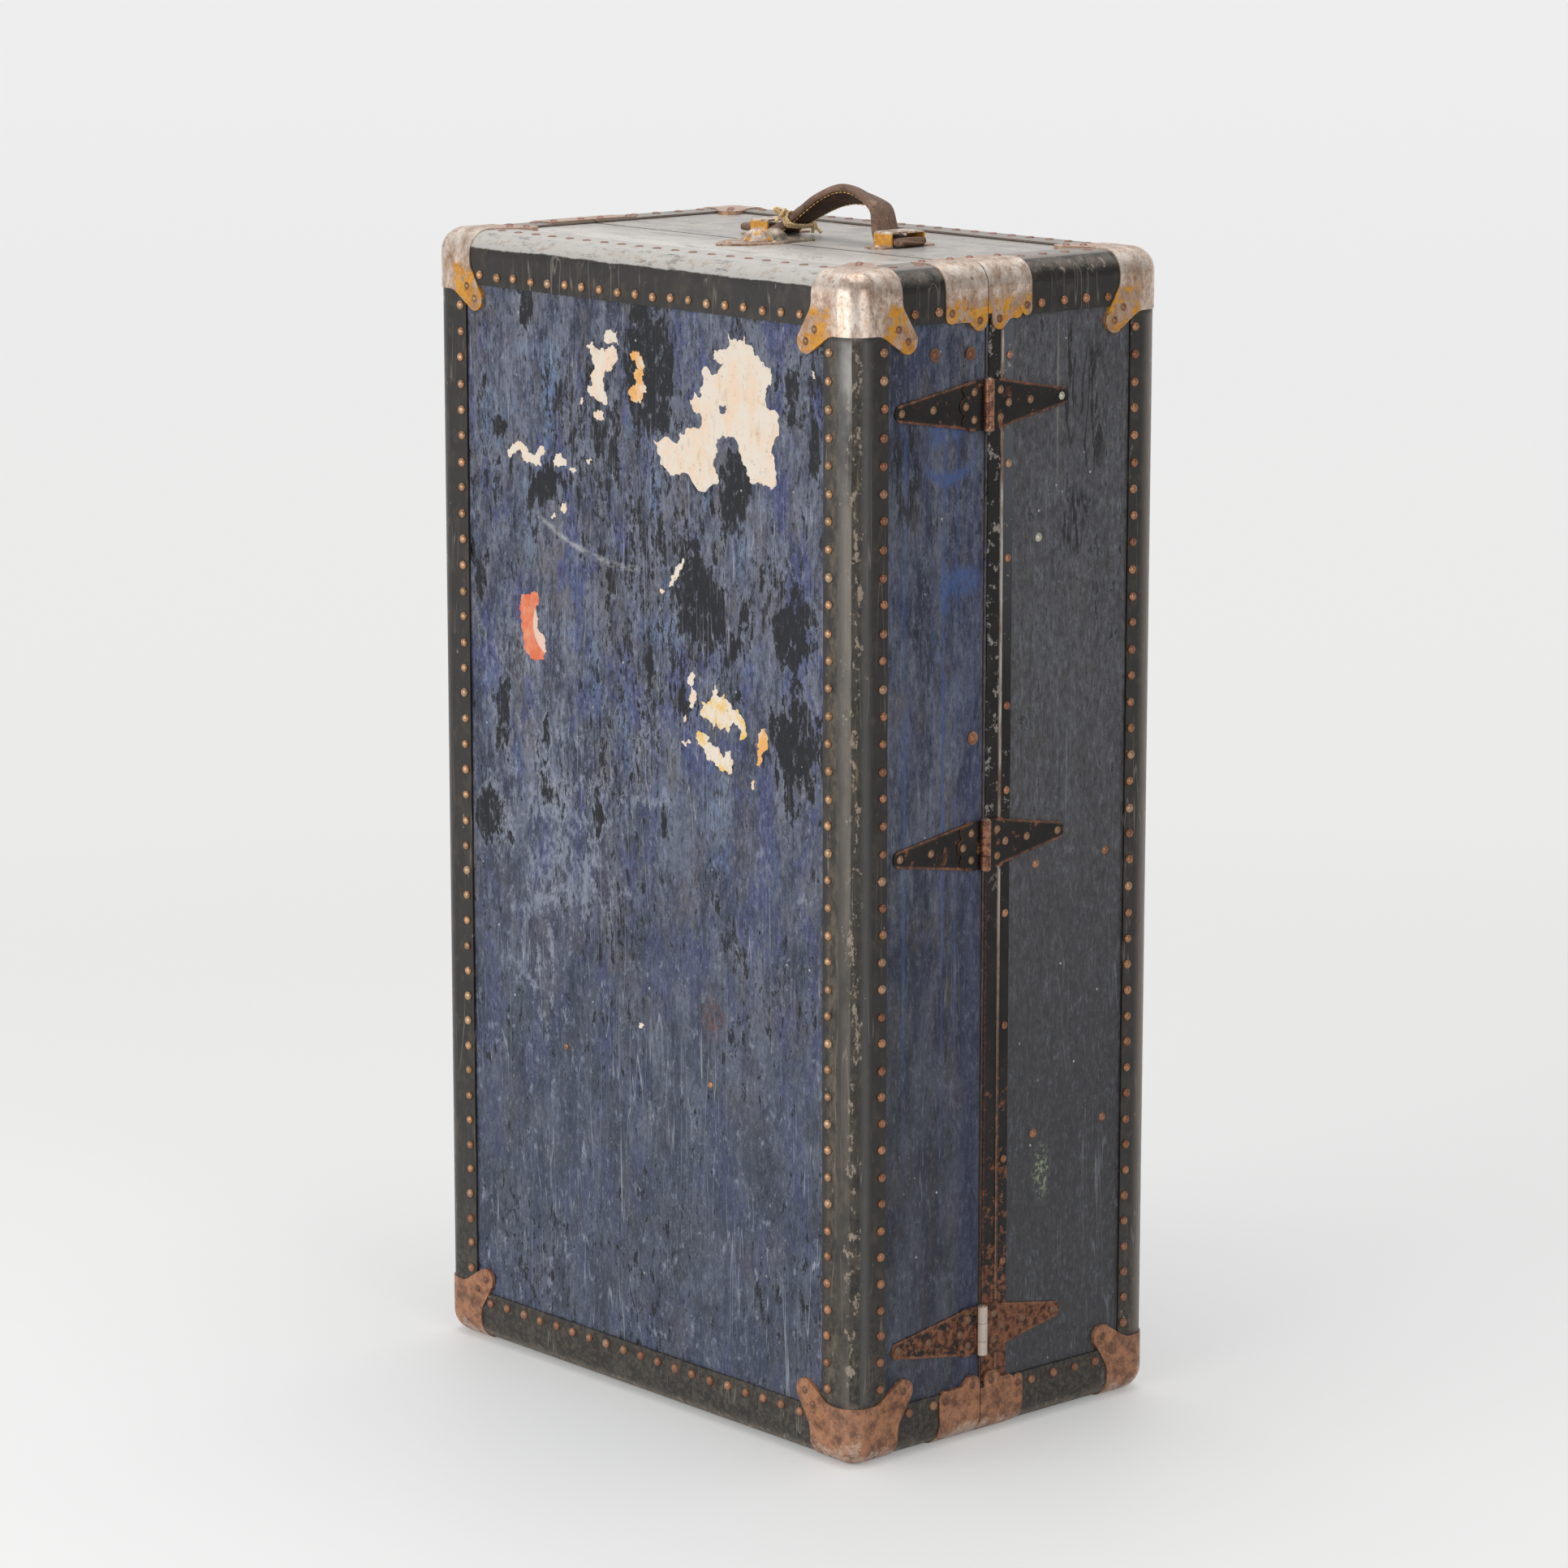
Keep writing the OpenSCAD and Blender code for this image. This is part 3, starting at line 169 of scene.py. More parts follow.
class Finish(Graph):
    """One procedural material and the nodes that make it."""

    def __init__(self, name, roughness=0.5, metallic=0.0, specular=0.5):
        self.colour = None
        self.material = bpy.data.materials.new(name)
        self.material.use_nodes = True
        super().__init__(self.material.node_tree)
        self.nodes.clear()
        self.shader = self.nodes.new("ShaderNodeBsdfPrincipled")
        for socket, value in (("Roughness", roughness), ("Metallic", metallic),
                              ("Specular IOR Level", specular)):
            self.shader.inputs[socket].default_value = value
        output = self.nodes.new("ShaderNodeOutputMaterial")
        self.links.new(self.shader.outputs[0], output.inputs["Surface"])
        self.place = self.add("ShaderNodeTexCoord", out="Object")
        self.x, self.y, self.z = self.axes(self.place)

    def mapped(self, kind, location, scale, turn=(0, 0, 0)):
        """Object coordinates, moved and scaled for a pattern."""
        return self.add("ShaderNodeMapping", {"vector_type": kind}, {
            "Vector": self.place, "Location": location, "Rotation": turn, "Scale": scale})

    def grain(self, size, detail=4.0, rough=0.55, stretch=1, turn=(0, 0, 0), shift=0.0, bend=0.0):
        """Noise from 0 to 1 with features of about size metres, longer by stretch upwards or per axis."""
        stretch = stretch if isinstance(stretch, tuple) else (1, 1, stretch)
        place = (shift, shift * 0.7, shift * 1.3)
        at = self.mapped("POINT", place, [1 / (size * s) for s in stretch], turn)
        return self.add("ShaderNodeTexNoise", {}, {
            "Vector": at, "Scale": 1.0, "Detail": detail, "Roughness": rough, "Distortion": bend})

    def cells(self, size, feature="F1"):
        """Distances in a pattern of cells of about size metres."""
        at = self.mapped("POINT", (0, 0, 0), [1 / size] * 3)
        settings, inputs = {"feature": feature}, {"Vector": at, "Scale": 1.0}
        return self.add("ShaderNodeTexVoronoi", settings, inputs, "Distance")

    def oval(self, centre, reach):
        """Is 1 at a place, given in millimetres, and falls to 0 at the edge of an oval."""
        at = self.mapped("TEXTURE", [v * MM for v in centre], [v * MM for v in reach])
        return self.add("ShaderNodeTexGradient", {"gradient_type": "SPHERICAL"}, {"Vector": at}, 1)

    def patches(self, spots, beside=False):
        """Adds up ovals on the front face, or on the hinge side beside it.

        A spot is its place across, its height, its reach across and up in millimetres, and its strength.
        """
        total = 0.0
        for across, height, wide, tall, strength in spots:
            if beside:
                oval = self.oval((COVER_X / MM, across, height), (8, wide, tall))
            else:
                oval = self.oval((across, COVER_Y / MM, height), (wide, 5, tall))
            total = oval * strength + total
        return total

    def scratches(self, families):
        """Long thin lines, each family along its own direction and only here and there.

        A family is its size, its turn, the width of its lines, how sparse they are and its shift.
        """
        total = 0.0
        for size, turn, width, sparse, shift in families:
            line = self.grain(size, 2.0, 0.5, 22, turn, shift).band(0.5, width)
            where = self.grain(size * 3.5, 2.0, 0.5, 1.6, shift=shift + 3)
            total = line * where.step(sparse, sparse + 0.08) + total
        return total.lower(1.0)

    def edge_distance(self):
        """Distance from the nearest edge of the case: the middle one of those from its three planes."""
        across = HALF_W - abs(self.x)
        along = BACK_Y - abs(self.y)
        tall = (self.z - FOOT_Z).lower(HEAD_Z - self.z)
        least = across.lower(along).lower(tall)
        most = across.higher(along).higher(tall)
        return across + along + tall - least - most

    def bump(self, height, distance, strength=1.0):
        """Adds relief of a real height in metres, over what is there already."""
        inputs = {"Strength": strength, "Distance": distance, "Height": height}
        normal = self.shader.inputs["Normal"]
        if normal.is_linked:
            inputs["Normal"] = Value(self, normal.links[0].from_socket)
        self.feed(normal, self.add("ShaderNodeBump", {}, inputs))

    def lay(self, amount, over):
        """Lays a colour over the finish's own."""
        self.colour = self.mix(amount, self.colour, over)

    def finish(self, roughness=None, metallic=None):
        """Gives the shader its colour, and its roughness and metal where they vary."""
        for socket, value in (("Base Color", self.colour), ("Roughness", roughness),
                              ("Metallic", metallic)):
            if value is not None:
                self.feed(self.shader.inputs[socket], value)
        return self.material


# ---- Finishes ------------------------------------------------------------------------------

# Where the old lacquer still clings to the front face, and where the face is scuffed pale or rusty:
# place across, height, reach across and up in millimetres, and strength
LACQUER_SPOTS = (
    (-150, 959, 19.5, 39, 1.3), (1, 963, 12, 24, 1.2), (17, 915, 45, 66, 1.3), (-212, 883, 13.5, 36, 0.9),
    (-189, 846, 18, 13.5, 1.1), (-132, 804, 42, 33, 0.9), (127, 820, 36, 49.5, 1.5),
    (138, 858, 13.5, 21, 1.0), (199, 908, 30, 46.5, 0.7), (224, 864, 12, 42, 1.0),
    (-32, 837, 10.5, 28.5, 1.0), (-38, 726, 13.5, 30, 1.0), (80, 723, 39, 52.5, 1.0),
    (199, 707, 37.5, 49.5, 1.5), (127, 694, 31.5, 63, 0.6), (-186, 586, 24, 67.5, 0.9),
    (-201, 492, 39, 36, 1.3), (-129, 566, 16.5, 64.5, 1.0), (-124, 522, 34.5, 28.5, 0.9),
    (-56, 518, 10.5, 33, 1.1), (199, 607, 54, 72, 1.5), (90, 630, 63, 36, 0.7), (32, 525, 9, 57, 0.9),
    (189, 536, 31.5, 42, 0.7), (-218, 700, 21, 90, 0.7), (60, 250, 45, 90, 0.5), (150, 420, 45, 45, 0.6),
    (-120, 380, 18, 75, 0.7))
SCUFF_SPOTS = (
    (-118, 509, 117, 120, 1.0), (-96, 450, 76.5, 45, 1.0), (4, 539, 73.5, 9, 1.1),
    (5, 600, 57, 52.5, 0.6), (-142, 387, 69, 67.5, 0.6), (-162, 648, 102, 45, 0.5),
    (-130, 330, 33, 75, 0.6))
RUSTY_SPOTS = ((97, 362, 22, 26, 1.0),)
# Where the fibre is rubbed pale blue
SKY_SPOTS = (
    (-116, 904, 18, 33, 1.2), (-122, 870, 10.5, 75, 0.9), (22, 806, 12, 45, 0.9), (134, 773, 15, 39, 0.6),
    (162, 815, 21, 24, 0.6), (-148, 918, 24, 15, 0.6), (-205, 860, 15, 45, 0.7), (-150, 770, 21, 60, 0.6),
    (40, 690, 60, 18, 0.7), (-60, 640, 18, 60, 0.6), (100, 540, 30, 60, 0.6), (-20, 600, 15, 60, 0.6))

# Where the hinge side is stained: smears of pale blue, a green-grey stain, and runs of wrinkled lacquer
SMEAR_SPOTS = (
    (-52, 751, 26, 16, 1.8), (-84, 880, 12, 20, 1.8), (-62, 882, 10, 16, 1.8), (-74, 742, 7, 26, 1.8))
STAIN_SPOTS = ((45, 224, 13, 30, 1.5),)
RUN_SPOTS = ((70, 905, 9, 70, 3), (98, 885, 20, 70, 3), (78, 790, 22, 34, 3), (-118, 845, 22, 60, 2.4))
# Blue drips on the hinge side: place across, half width in millimetres, and strength
DRIPS = ((-75, 2.4, 1.0), (-60, 1.8, 1.0), (-119, 3.5, 0.7), (-41, 1.4, 0.6))
# Families of scratches: size, turn, width, sparseness and shift
FIBRE_SCRATCHES = (
    (0.016, (0, 0.06, 0), 0.008, 0.6, 0), (0.02, (0, 0.6, 0), 0.007, 0.56, 7),
    (0.024, (0, -0.75, 0.2), 0.005, 0.58, 15), (0.012, (0, 0.02, 0), 0.010, 0.61, 27),
    (0.018, (0, 1.15, 0), 0.005, 0.58, 35), (0.013, (0, -0.5, 0), 0.008, 0.57, 41),
    (0.02, (0, 0.9, 0), 0.006, 0.57, 47))
BINDING_SCRATCHES = (
    (0.014, (0.3, 0.5, 0), 0.010, 0.54, 2), (0.02, (1.2, 0, 0.6), 0.008, 0.54, 5),
    (0.018, (0.8, 0.2, 1.3), 0.008, 0.55, 9))


def fibre_finish(look):
    """Blue fibre: streaked, with flakes of black lacquer, scratches, drips, painted shade and highlight,
    and a dusty top.
    """
    f = Finish("Worn blue fibre", specular=0.26)
    top = f.z.past(HEAD_Z, -5, -3.5)
    side = abs(f.x).past(HALF_W, -6, -4)
    hinge_side = f.x.past(HALF_W, -6, -4)
    back = f.y.past(PART_Y, 0, 1)
    front = f.y.until(FRONT_Y, 3, 5)
    low = f.z.fall(0.2, 0.7)
    calm = 1 - 0.35 * side

    # Streaks, blotches and a fine mottling of four tones
    streak = f.grain(0.024, 8, 0.74, 3.2)
    brown = f.grain(0.03, 8, 0.74, 2.4, shift=71)
    violet = f.grain(0.034, 8, 0.7, 2.6, shift=5)
    sky = f.grain(0.02, 8, 0.74, 3, shift=81)
    mottle = f.grain(0.005, 7, 0.78, 2.4, shift=3)
    speckle = f.grain(0.0024, 5, 0.75, 2.2, shift=61)
    broad = f.grain(0.16, 3, 0.5, 1.6, shift=2)
    f.colour = f.mix(streak.step(0.4, 0.6), look.fibre_dark, look.fibre)
    f.lay(brown.step(0.5, 0.6) * 0.6, (100, 96, 98))
    f.lay(violet.step(0.5, 0.6) * (0.8 - 0.5 * side - 0.2 * low), look.fibre_violet)
    f.lay(sky.step(0.55, 0.68) * 0.6 * calm * (1 - 0.6 * low), (96, 118, 156))
    f.lay(low * front * 0.55, (62, 70, 86))
    smudge = f.grain(0.045, 6, 0.64, 1.7, shift=101).step(0.5, 0.6) * low
    f.lay(smudge * 0.45, (48, 56, 64))
    # The hinge side darker, more so low down: partly its own duller tone, partly painted shade for light
    # falling mainly on the front
    f.lay(hinge_side * (0.24 + 0.4 * low), (38, 39, 44))
    f.lay(back * side * (0.7 + 0.15 * broad), (86, 84, 83))
    f.lay(back * side * low * 0.55, (44, 45, 49))
    parting = f.y.past(PART_Y, -30, -20) * (1 - back) * hinge_side * f.z.fall(0.75, 0.95)
    f.lay(parting * 0.35, (30, 40, 84))
    f.lay(mottle.step(0.49, 0.4) * (0.7 - 0.35 * low) * calm, (30, 33, 43))
    f.lay(mottle.step(0.53, 0.62) * (0.5 - 0.3 * low) * calm, (134, 138, 152))
    f.lay(speckle.step(0.5, 0.4) * 0.3, (30, 31, 36))
    f.lay(speckle.step(0.56, 0.66) * 0.3 * calm, (150, 154, 162))
    f.lay(f.patches(SKY_SPOTS).lower(1.0) * mottle.step(0.4, 0.56) * 0.7, (112, 136, 168))

    # Flakes of the old black lacquer
    ragged = f.grain(0.011, 8, 0.7, 2.6, shift=9, bend=0.25)
    cling = f.grain(0.09, 4, 0.5, 1.5, shift=12) - 0.5
    spots = f.patches(LACQUER_SPOTS)
    lacquer = ragged + 0.5 * cling + 0.30 * spots - 0.1 * low
    flakes = lacquer.step(0.63, 0.65)
    small_flakes = f.grain(0.005, 7, 0.72, 2.2, shift=91) + 0.3 * cling
    long_flakes = f.grain(0.0085, 7, 0.68, 3.2, shift=95, bend=0.2) + 0.35 * cling - 0.02 * low
    crumbs = (small_flakes.step(0.605, 0.62) + long_flakes.step(0.595, 0.61)) * front
    thin = f.grain(0.006, 6, 0.7, 2, shift=97).step(0.54, 0.64)
    scuffs = f.patches(SCUFF_SPOTS)
    rim = lacquer.band(0.595, 0.035) * (0.25 + scuffs * 1.6).lower(1.0)
    f.lay((flakes + crumbs).lower(1.0) * (0.97 - 0.4 * side) * (1 - 0.3 * thin), look.lacquer)
    f.lay(rim * 0.7, (150, 156, 168))

    # Scuffs, scratches and specks
    torn = f.grain(0.02, 8, 0.76, 1.6, shift=21) + f.grain(0.006, 7, 0.74, 1.8, shift=22)
    scuffed = (0.5 * torn + 0.07 * scuffs.lower(1.2)).step(0.54, 0.62)
    f.lay(scuffed * (0.55 - 0.35 * side), (152, 158, 174))
    f.lay(f.scratches(FIBRE_SCRATCHES) * (0.42 - 0.24 * side), (182, 186, 196))
    # One long arc across the upper left of the face
    arc = f.z - (0.741 + 0.0542 * f.x + 2.161 * f.x * f.x)
    swept = arc.band(0.0, 5 * MM) * f.x.step(-0.152, -0.12) * f.x.fall(-0.01, 0.006) * front
    f.lay(swept * f.grain(0.006, 7, 0.7, (3, 1, 1), shift=33).step(0.4, 0.62) * 0.75, (176, 178, 180))
    specks = f.cells(0.016).step(0.085, 0.05) * f.grain(0.05, shift=31).step(0.56, 0.6)
    f.lay(specks * 0.8, (196, 194, 188))
    rusty = f.patches(RUSTY_SPOTS) * f.grain(0.008, 5).step(0.4, 0.6)
    f.lay(rusty * 0.7, (104, 66, 60))

    # Blue drips, a bowl-shaped smear and black scribbles on the hinge side of the front half
    ragged_run = f.grain(0.012, 6, 0.7, 6, shift=37).step(0.36, 0.5)
    drips = 0.0
    for across, half, strength in DRIPS:
        drips = f.y.band(across * MM, half * MM) * strength + drips
    drips = drips * ragged_run * f.z.step(0.15, 0.5) * f.z.fall(0.86, 0.9)
    off = f.y + 0.07
    bowl = (f.z - (0.838 + 14 * off * off)).band(0.0, 9 * MM) * f.y.band(-69 * MM, 40 * MM)
    pale_blue = (drips + bowl * 1.5 + f.patches(SMEAR_SPOTS, beside=True)) * hinge_side * (1 - back)
    pale_blue = pale_blue.lower(1.0) * f.grain(0.005, 7, 0.72, 2, shift=43).step(0.3, 0.54)
    f.lay(pale_blue * 0.75, (70, 92, 142))
    stain = f.patches(STAIN_SPOTS, beside=True) * f.grain(0.004, 6, 0.75).step(0.5, 0.57)
    f.lay(stain.lower(1.0) * hinge_side, (138, 152, 122))
    run = f.patches(RUN_SPOTS, beside=True).lower(1.0) * hinge_side
    wrinkle = f.grain(0.012, 5, 0.6, 7, shift=51, bend=0.5).band(0.52, 0.045) * run
    f.lay(wrinkle * 0.9, (18, 19, 22))
    white_run = f.y.band(56 * MM, 1.6 * MM) * f.z.band(0.9, 0.1) * ragged_run * hinge_side
    f.lay(white_run * 0.7, (150, 146, 132))

    # The top: dusty grey, paler in front from dust and a painted highlight, dirty here and there,
    # with painted shade in the gap at the parting
    dust = f.grain(0.03, 6, 0.66, shift=17).step(0.3, 0.7)
    front_dust_and_highlight = f.y.fall(-0.12, -0.02)
    f.lay(top * (0.6 + 0.35 * dust), (186, 178, 168))
    # Paler towards the front: dust and a painted highlight
    f.lay(top * front_dust_and_highlight * 0.7, (222, 216, 208))
    f.lay(top * f.grain(0.02, 7, 0.74, (2.5, 1, 1), shift=57).step(0.52, 0.64) * 0.55, (122, 110, 102))
    # A painted shade line along the gap at the parting
    f.lay(top * f.y.band(PART_Y, 3.5 * MM) * 0.9, (36, 33, 32))
    rough = 0.46 - 0.2 * flakes + 0.12 * scuffed + 0.16 * (mottle - 0.5) - 0.06 * side - 0.08 * top
    f.bump(mottle, 0.12 * MM)
    f.bump(flakes, 0.08 * MM)
    f.bump(wrinkle, 1.0 * MM)
    ripple = f.grain(0.045, 3, 0.5, (0.7, 0.7, 3.2), shift=40, bend=0.3)
    f.bump(ripple, 1.2 * MM, 0.6)
    return f.finish(rough)


def binding_finish(look):
    """Black-brown fibre bindings, rubbed grey and tan along the round edges, with painted highlights
    there too.
    """
    f = Finish("Black-brown binding", specular=0.4)
    middle = f.edge_distance()
    upright = (f.z - FOOT_Z).lower(HEAD_Z - f.z).step(52 * MM, 58 * MM)
    cloud = f.grain(0.04, 6, 0.62)
    fine = f.grain(0.004, 6, 0.7)
    lengthways = f.grain(0.0035, 6, 0.66, 12, shift=11)
    f.colour = f.mix(cloud.step(0.35, 0.7), look.binding, (42, 37, 32))
    f.lay(f.grain(0.012, 7, 0.72, 1.6, shift=6).step(0.5, 0.66) * 0.55, (74, 64, 52))
    rounded = middle.fall(5 * MM, 17 * MM)
    rub = f.grain(0.015, 8, 0.72, shift=3)
    # Rubbed tone along the round edges, partly wear and partly a painted highlight
    wear_and_sheen = rounded * (rub + 0.18 * rounded + 0.5 * upright * (lengthways - 0.5)).step(0.5, 0.72)
    # The upright edge between the front and the hinge side, across it from front to side:
    # tan marks, a painted grey highlight band, short pale dashes and a soft painted grey highlight band
    around = (f.x - HALF_W) - (FRONT_Y - f.y)
    corner = f.y.until(FRONT_Y, 44, 46) * f.x.past(HALF_W, -46, -44)
    corner = corner * upright
    wander = around + 3 * MM * (f.grain(0.02, 4, 0.6, 3, shift=23) - 0.5)
    # A painted highlight band, brighter high up
    grey = wander.step(-25 * MM, -5 * MM) * wander.fall(-4.4 * MM, -3.2 * MM) * corner
    grey = grey * f.grain(0.05, 5, 0.6, 2, shift=25).step(0.25, 0.55) * (0.4 + 0.6 * f.z.step(0.3, 0.8))
    tan = around.step(-36 * MM, -28 * MM) * around.fall(-22 * MM, -16 * MM) * corner
    # A soft painted highlight band further round the edge
    soft = around.band(14 * MM, 9 * MM) * corner
    dashes = f.grain(0.004, 7, 0.7, 9, shift=19).step(0.55, 0.66) * around.band(3 * MM, 5 * MM) * corner
    f.lay(wear_and_sheen * (1 - 0.75 * corner) * 0.6, look.binding_worn)
    f.lay(tan * f.grain(0.007, 7, 0.72, 2, shift=17).step(0.4, 0.64) * 0.6, (112, 100, 82))
    f.lay(grey * (0.25 + 0.6 * lengthways), f.mix(f.z.step(0.8, 0.95), (158, 148, 136), (226, 222, 216)))
    f.lay(soft * (0.3 + 0.3 * lengthways), (104, 104, 102))
    f.lay(dashes * 0.7, (124, 110, 80))
    # A painted sheen along the round edge of the far upright
    far_edge_sheen = upright * f.y.past(BACK_Y, -26, -12) * f.x.step(0.0, 0.1)
    f.lay(far_edge_sheen * (0.3 + 0.5 * lengthways), (146, 134, 124))
    # The top: pale along the front edge from wear and a painted highlight, dusty brown elsewhere
    edge_z = f.z + 7 * MM * (f.grain(0.022, 7, 0.7, (2, 1, 1), shift=14) - 0.5)
    front = f.y.until(FRONT_Y, 44, 48)
    dull = f.grain(0.006, 7, 0.74, (3, 1, 1), shift=16).step(0.52, 0.64)
    lip_wear_and_highlight = edge_z.past(HEAD_Z, -14, -12.5) * front * (1 - 0.6 * dull)
    flat = f.z.past(HEAD_Z, -2, -1)
    f.lay(flat * (0.35 + 0.4 * rub), (158, 142, 130))
    f.lay(lip_wear_and_highlight * 0.74, (206, 202, 196))
    chips = (rounded * 0.12 + f.grain(0.008, 8, 0.72, 1.8, shift=8)).step(0.65, 0.69)
    f.lay(chips * 0.7, (168, 152, 136))
    f.lay(f.scratches(BINDING_SCRATCHES) * 0.42, (150, 140, 130))
    low = f.z.fall(0.02, 0.2)
    f.lay(low * fine.step(0.42, 0.66) * 0.45, (104, 94, 80))
    ochre = f.grain(0.02, 7, 0.72, shift=29).step(0.66, 0.72) * low
    f.lay(ochre * 0.5, (150, 134, 92))
    rough = 0.2 + 0.14 * cloud + 0.2 * wear_and_sheen + 0.1 * fine + 0.14 * low + 0.1 * lip_wear_and_highlight
    f.bump(f.grain(0.010, 5, 0.6, shift=4), 0.5 * MM, 0.6)
    f.bump(fine, 0.08 * MM)
    return f.finish(rough)


def cap_finish(look):
    """Pressed steel: brown-silver, rubbed edges pale with a painted highlight, yellow plating on the
    lobes, rust low down.
    """
    f = Finish("Worn plated steel", specular=0.45)
    middle = f.edge_distance()
    blotch = f.grain(0.011, 8, 0.7, 1.5)
    fine = f.grain(0.0022, 6, 0.75, 2)
    above = f.z.past(HEAD_Z, -2.5, -1.5)
    lobes = (middle + 16 * MM * (f.grain(0.014, 7, 0.68, shift=5) - 0.5)).step(26 * MM, 33 * MM)
    rubbed = middle.fall(5 * MM, 22 * MM)
    f.colour = f.mix(blotch.step(0.34, 0.66), look.steel_brown, look.steel)
    f.lay(fine.step(0.46, 0.64) * 0.4, (122, 92, 72))
    # Pale rubbed metal along the edges, partly a painted highlight
    f.lay(rubbed * f.grain(0.014, 7, 0.7, 2, shift=9).step(0.36, 0.62) * 0.75, (240, 230, 218))
    flecks = f.grain(0.01, 8, 0.74, shift=25).step(0.6, 0.66) * (1 - lobes)
    f.lay(flecks * 0.5, (196, 142, 64))
    tip = middle.step(42 * MM, 58 * MM)
    plating = lobes * f.grain(0.014, 8, 0.74, shift=13).step(0.49, 0.53) * (1 - 0.9 * above)
    f.lay(lobes * 0.5, (158, 118, 88))
    f.lay(above * lobes * 0.6, (188, 158, 142))
    f.lay(plating * 0.97, look.plating)
    f.lay(plating * tip * 0.45, (166, 108, 56))
    f.lay(plating * f.grain(0.006, 6, 0.7, shift=15).step(0.42, 0.66) * 0.6, (232, 170, 52))
    f.lay(plating * f.grain(0.007, 7, 0.74, shift=27).step(0.52, 0.62) * 0.55, (150, 92, 34))
    speck = f.grain(0.005, 8, 0.76, shift=17).step(0.57, 0.64)
    low = f.z.fall(0.1, 0.35)
    f.lay(speck * (0.65 - 0.4 * low), (92, 60, 42))
    rust_tone = f.mix(f.grain(0.010, 8, 0.74, shift=19).step(0.36, 0.62), (98, 61, 43), (170, 117, 84))
    rust_tone = f.mix(fine.step(0.52, 0.66) * 0.45, rust_tone, (78, 50, 38))
    scrape = f.grain(0.02, 8, 0.76, shift=23) - 0.12 * f.z.step(0.012, 0.04)
    bare = (scrape + 0.16 * rubbed).step(0.58, 0.69)
    rust_tone = f.mix(bare * 0.5, rust_tone, (214, 190, 172))
    f.lay(low * (0.9 + 0.1 * blotch), rust_tone)
    metal = 0.62 - 0.56 * plating - 0.5 * low - 0.3 * speck
    rough = 0.22 + 0.16 * blotch + 0.14 * speck + 0.22 * low * (1 - bare) + 0.1 * above
    f.bump(f.grain(0.018, 4, 0.5, shift=2), 0.7 * MM, 0.8)
    f.bump(fine + 0.6 * plating, 0.10 * MM)
    return f.finish(rough, metal.higher(0.05))


def hinge_middles():
    """Heights of the middles of the three hinges."""
    heights = [vert.co.z for vert in frame["nodes"]["hinge_pins"].data.vertices]
    middles = []
    for level in sorted({round(z, 1) for z in heights}):
        near = [z for z in heights if abs(z - level) < 0.08]
        middles.append((min(near) + max(near)) / 2)
    return middles


def rivet_finish(look):
    """Copper-coloured rivet heads, each its own tone, bright on top and dark at the rim."""
    f = Finish("Copper rivets", specular=0.5)
    tone = f.add("ShaderNodeAttribute", {"attribute_name": "tone"}, out="Fac")
    patch = f.grain(0.016, 3, 0.5, shift=1)
    fine = f.grain(0.0016, 5, 0.7)
    f.colour = f.mix(patch.step(0.35, 0.65), look.copper_dark, look.copper)
    f.lay(tone.step(0.8, 0.98) * 0.45, (204, 182, 154))
    front = f.y.until(FRONT_Y, -4, 4)
    f.lay(front * f.z.step(0.1, 0.3) * 0.35, (206, 178, 136))
    f.lay((1 - front) * 0.35, (134, 88, 68))
    f.lay(fine.step(0.5, 0.64) * 0.6, (84, 54, 38))
    # The heads on the caps and clamps carry no tone of their own: duller and darker than the rows
    caps = tone.fall(0.0, 0.001) * (1 - f.z.step(0.1, 0.12) + f.z.step(0.9, 0.92))
    f.lay(caps * 0.6, (104, 74, 58))
    hinges = 0.0
    for middle in hinge_middles():
        hinges = f.oval((COVER_X / MM, PART_Y / MM, middle / MM), (30, 118, 34)) + hinges
    f.lay((hinges * 6).lower(1.0) * 0.6, (142, 116, 92))
    # A pale green-grey head above and the tip rivet of the top hinge
    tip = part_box("far_hinge_straps")[1].y / MM - 8
    pale = f.oval((COVER_X / MM + 2, (PART_Y + 0.064) / MM, 779), (8, 9, 9)) + f.oval(
        (COVER_X / MM + 2, tip, 897), (8, 8, 8))
    f.lay((pale * 3).lower(1.0) * 0.8, (190, 192, 174))
    low = f.z.fall(0.02, 0.3)
    f.lay(f.z.past(HEAD_Z, 0, 0.2) * 0.8, (140, 104, 92))
    f.lay(low * 0.55, f.mix(caps, (122, 76, 54), (84, 50, 36)))
    f.bump(fine, 0.07 * MM)
    return f.finish(0.24 + 0.26 * fine, 0.72 - 0.4 * low)


# Hinges, in millimetres: a strap's half height at its root and what it loses towards its tip, where its
# taper begins and how much shorter than the strap the taper is, and a barrel's half height
STRAP_ROOT, STRAP_LOSS = 21, 13.4
TAPER_START, TAPER_SHORT = 13.5, 21
BARREL_HALF = 24
# Levels of the flat faces of the hinge plates, in millimetres over the covering
PLATE_LEVELS = (1.4, 2.4, 2.8, 3.8)


def hinge_shape(f):
    """Masks for the hinges: 1 on a strap's edge, and 1 on a barrel."""
    edge, barrel = 0.0, 0.0
    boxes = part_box("near_hinge_straps"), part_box("far_hinge_straps")
    tips = PART_Y - boxes[0][0].y, boxes[1][1].y - PART_Y
    behind = f.y.past(PART_Y, 0, 0.1)
    reach = tips[0] + (tips[1] - tips[0]) * behind
    out = abs(f.y - PART_Y)
    for middle in hinge_middles():
        rise = abs(f.z - middle)
        slope = (out - TAPER_START * MM).higher(0.0) / (reach - TAPER_SHORT * MM)
        half = STRAP_ROOT * MM - STRAP_LOSS * MM * slope
        inside = rise.step(32 * MM, 30 * MM)
        edge = (rise - half + 3.2 * MM).step(0.0, 2.4 * MM) * inside + edge
        barrel = rise.until(BARREL_HALF * MM, -0.5, 0.5) + barrel
    return edge * out.step(12 * MM, 14 * MM), barrel


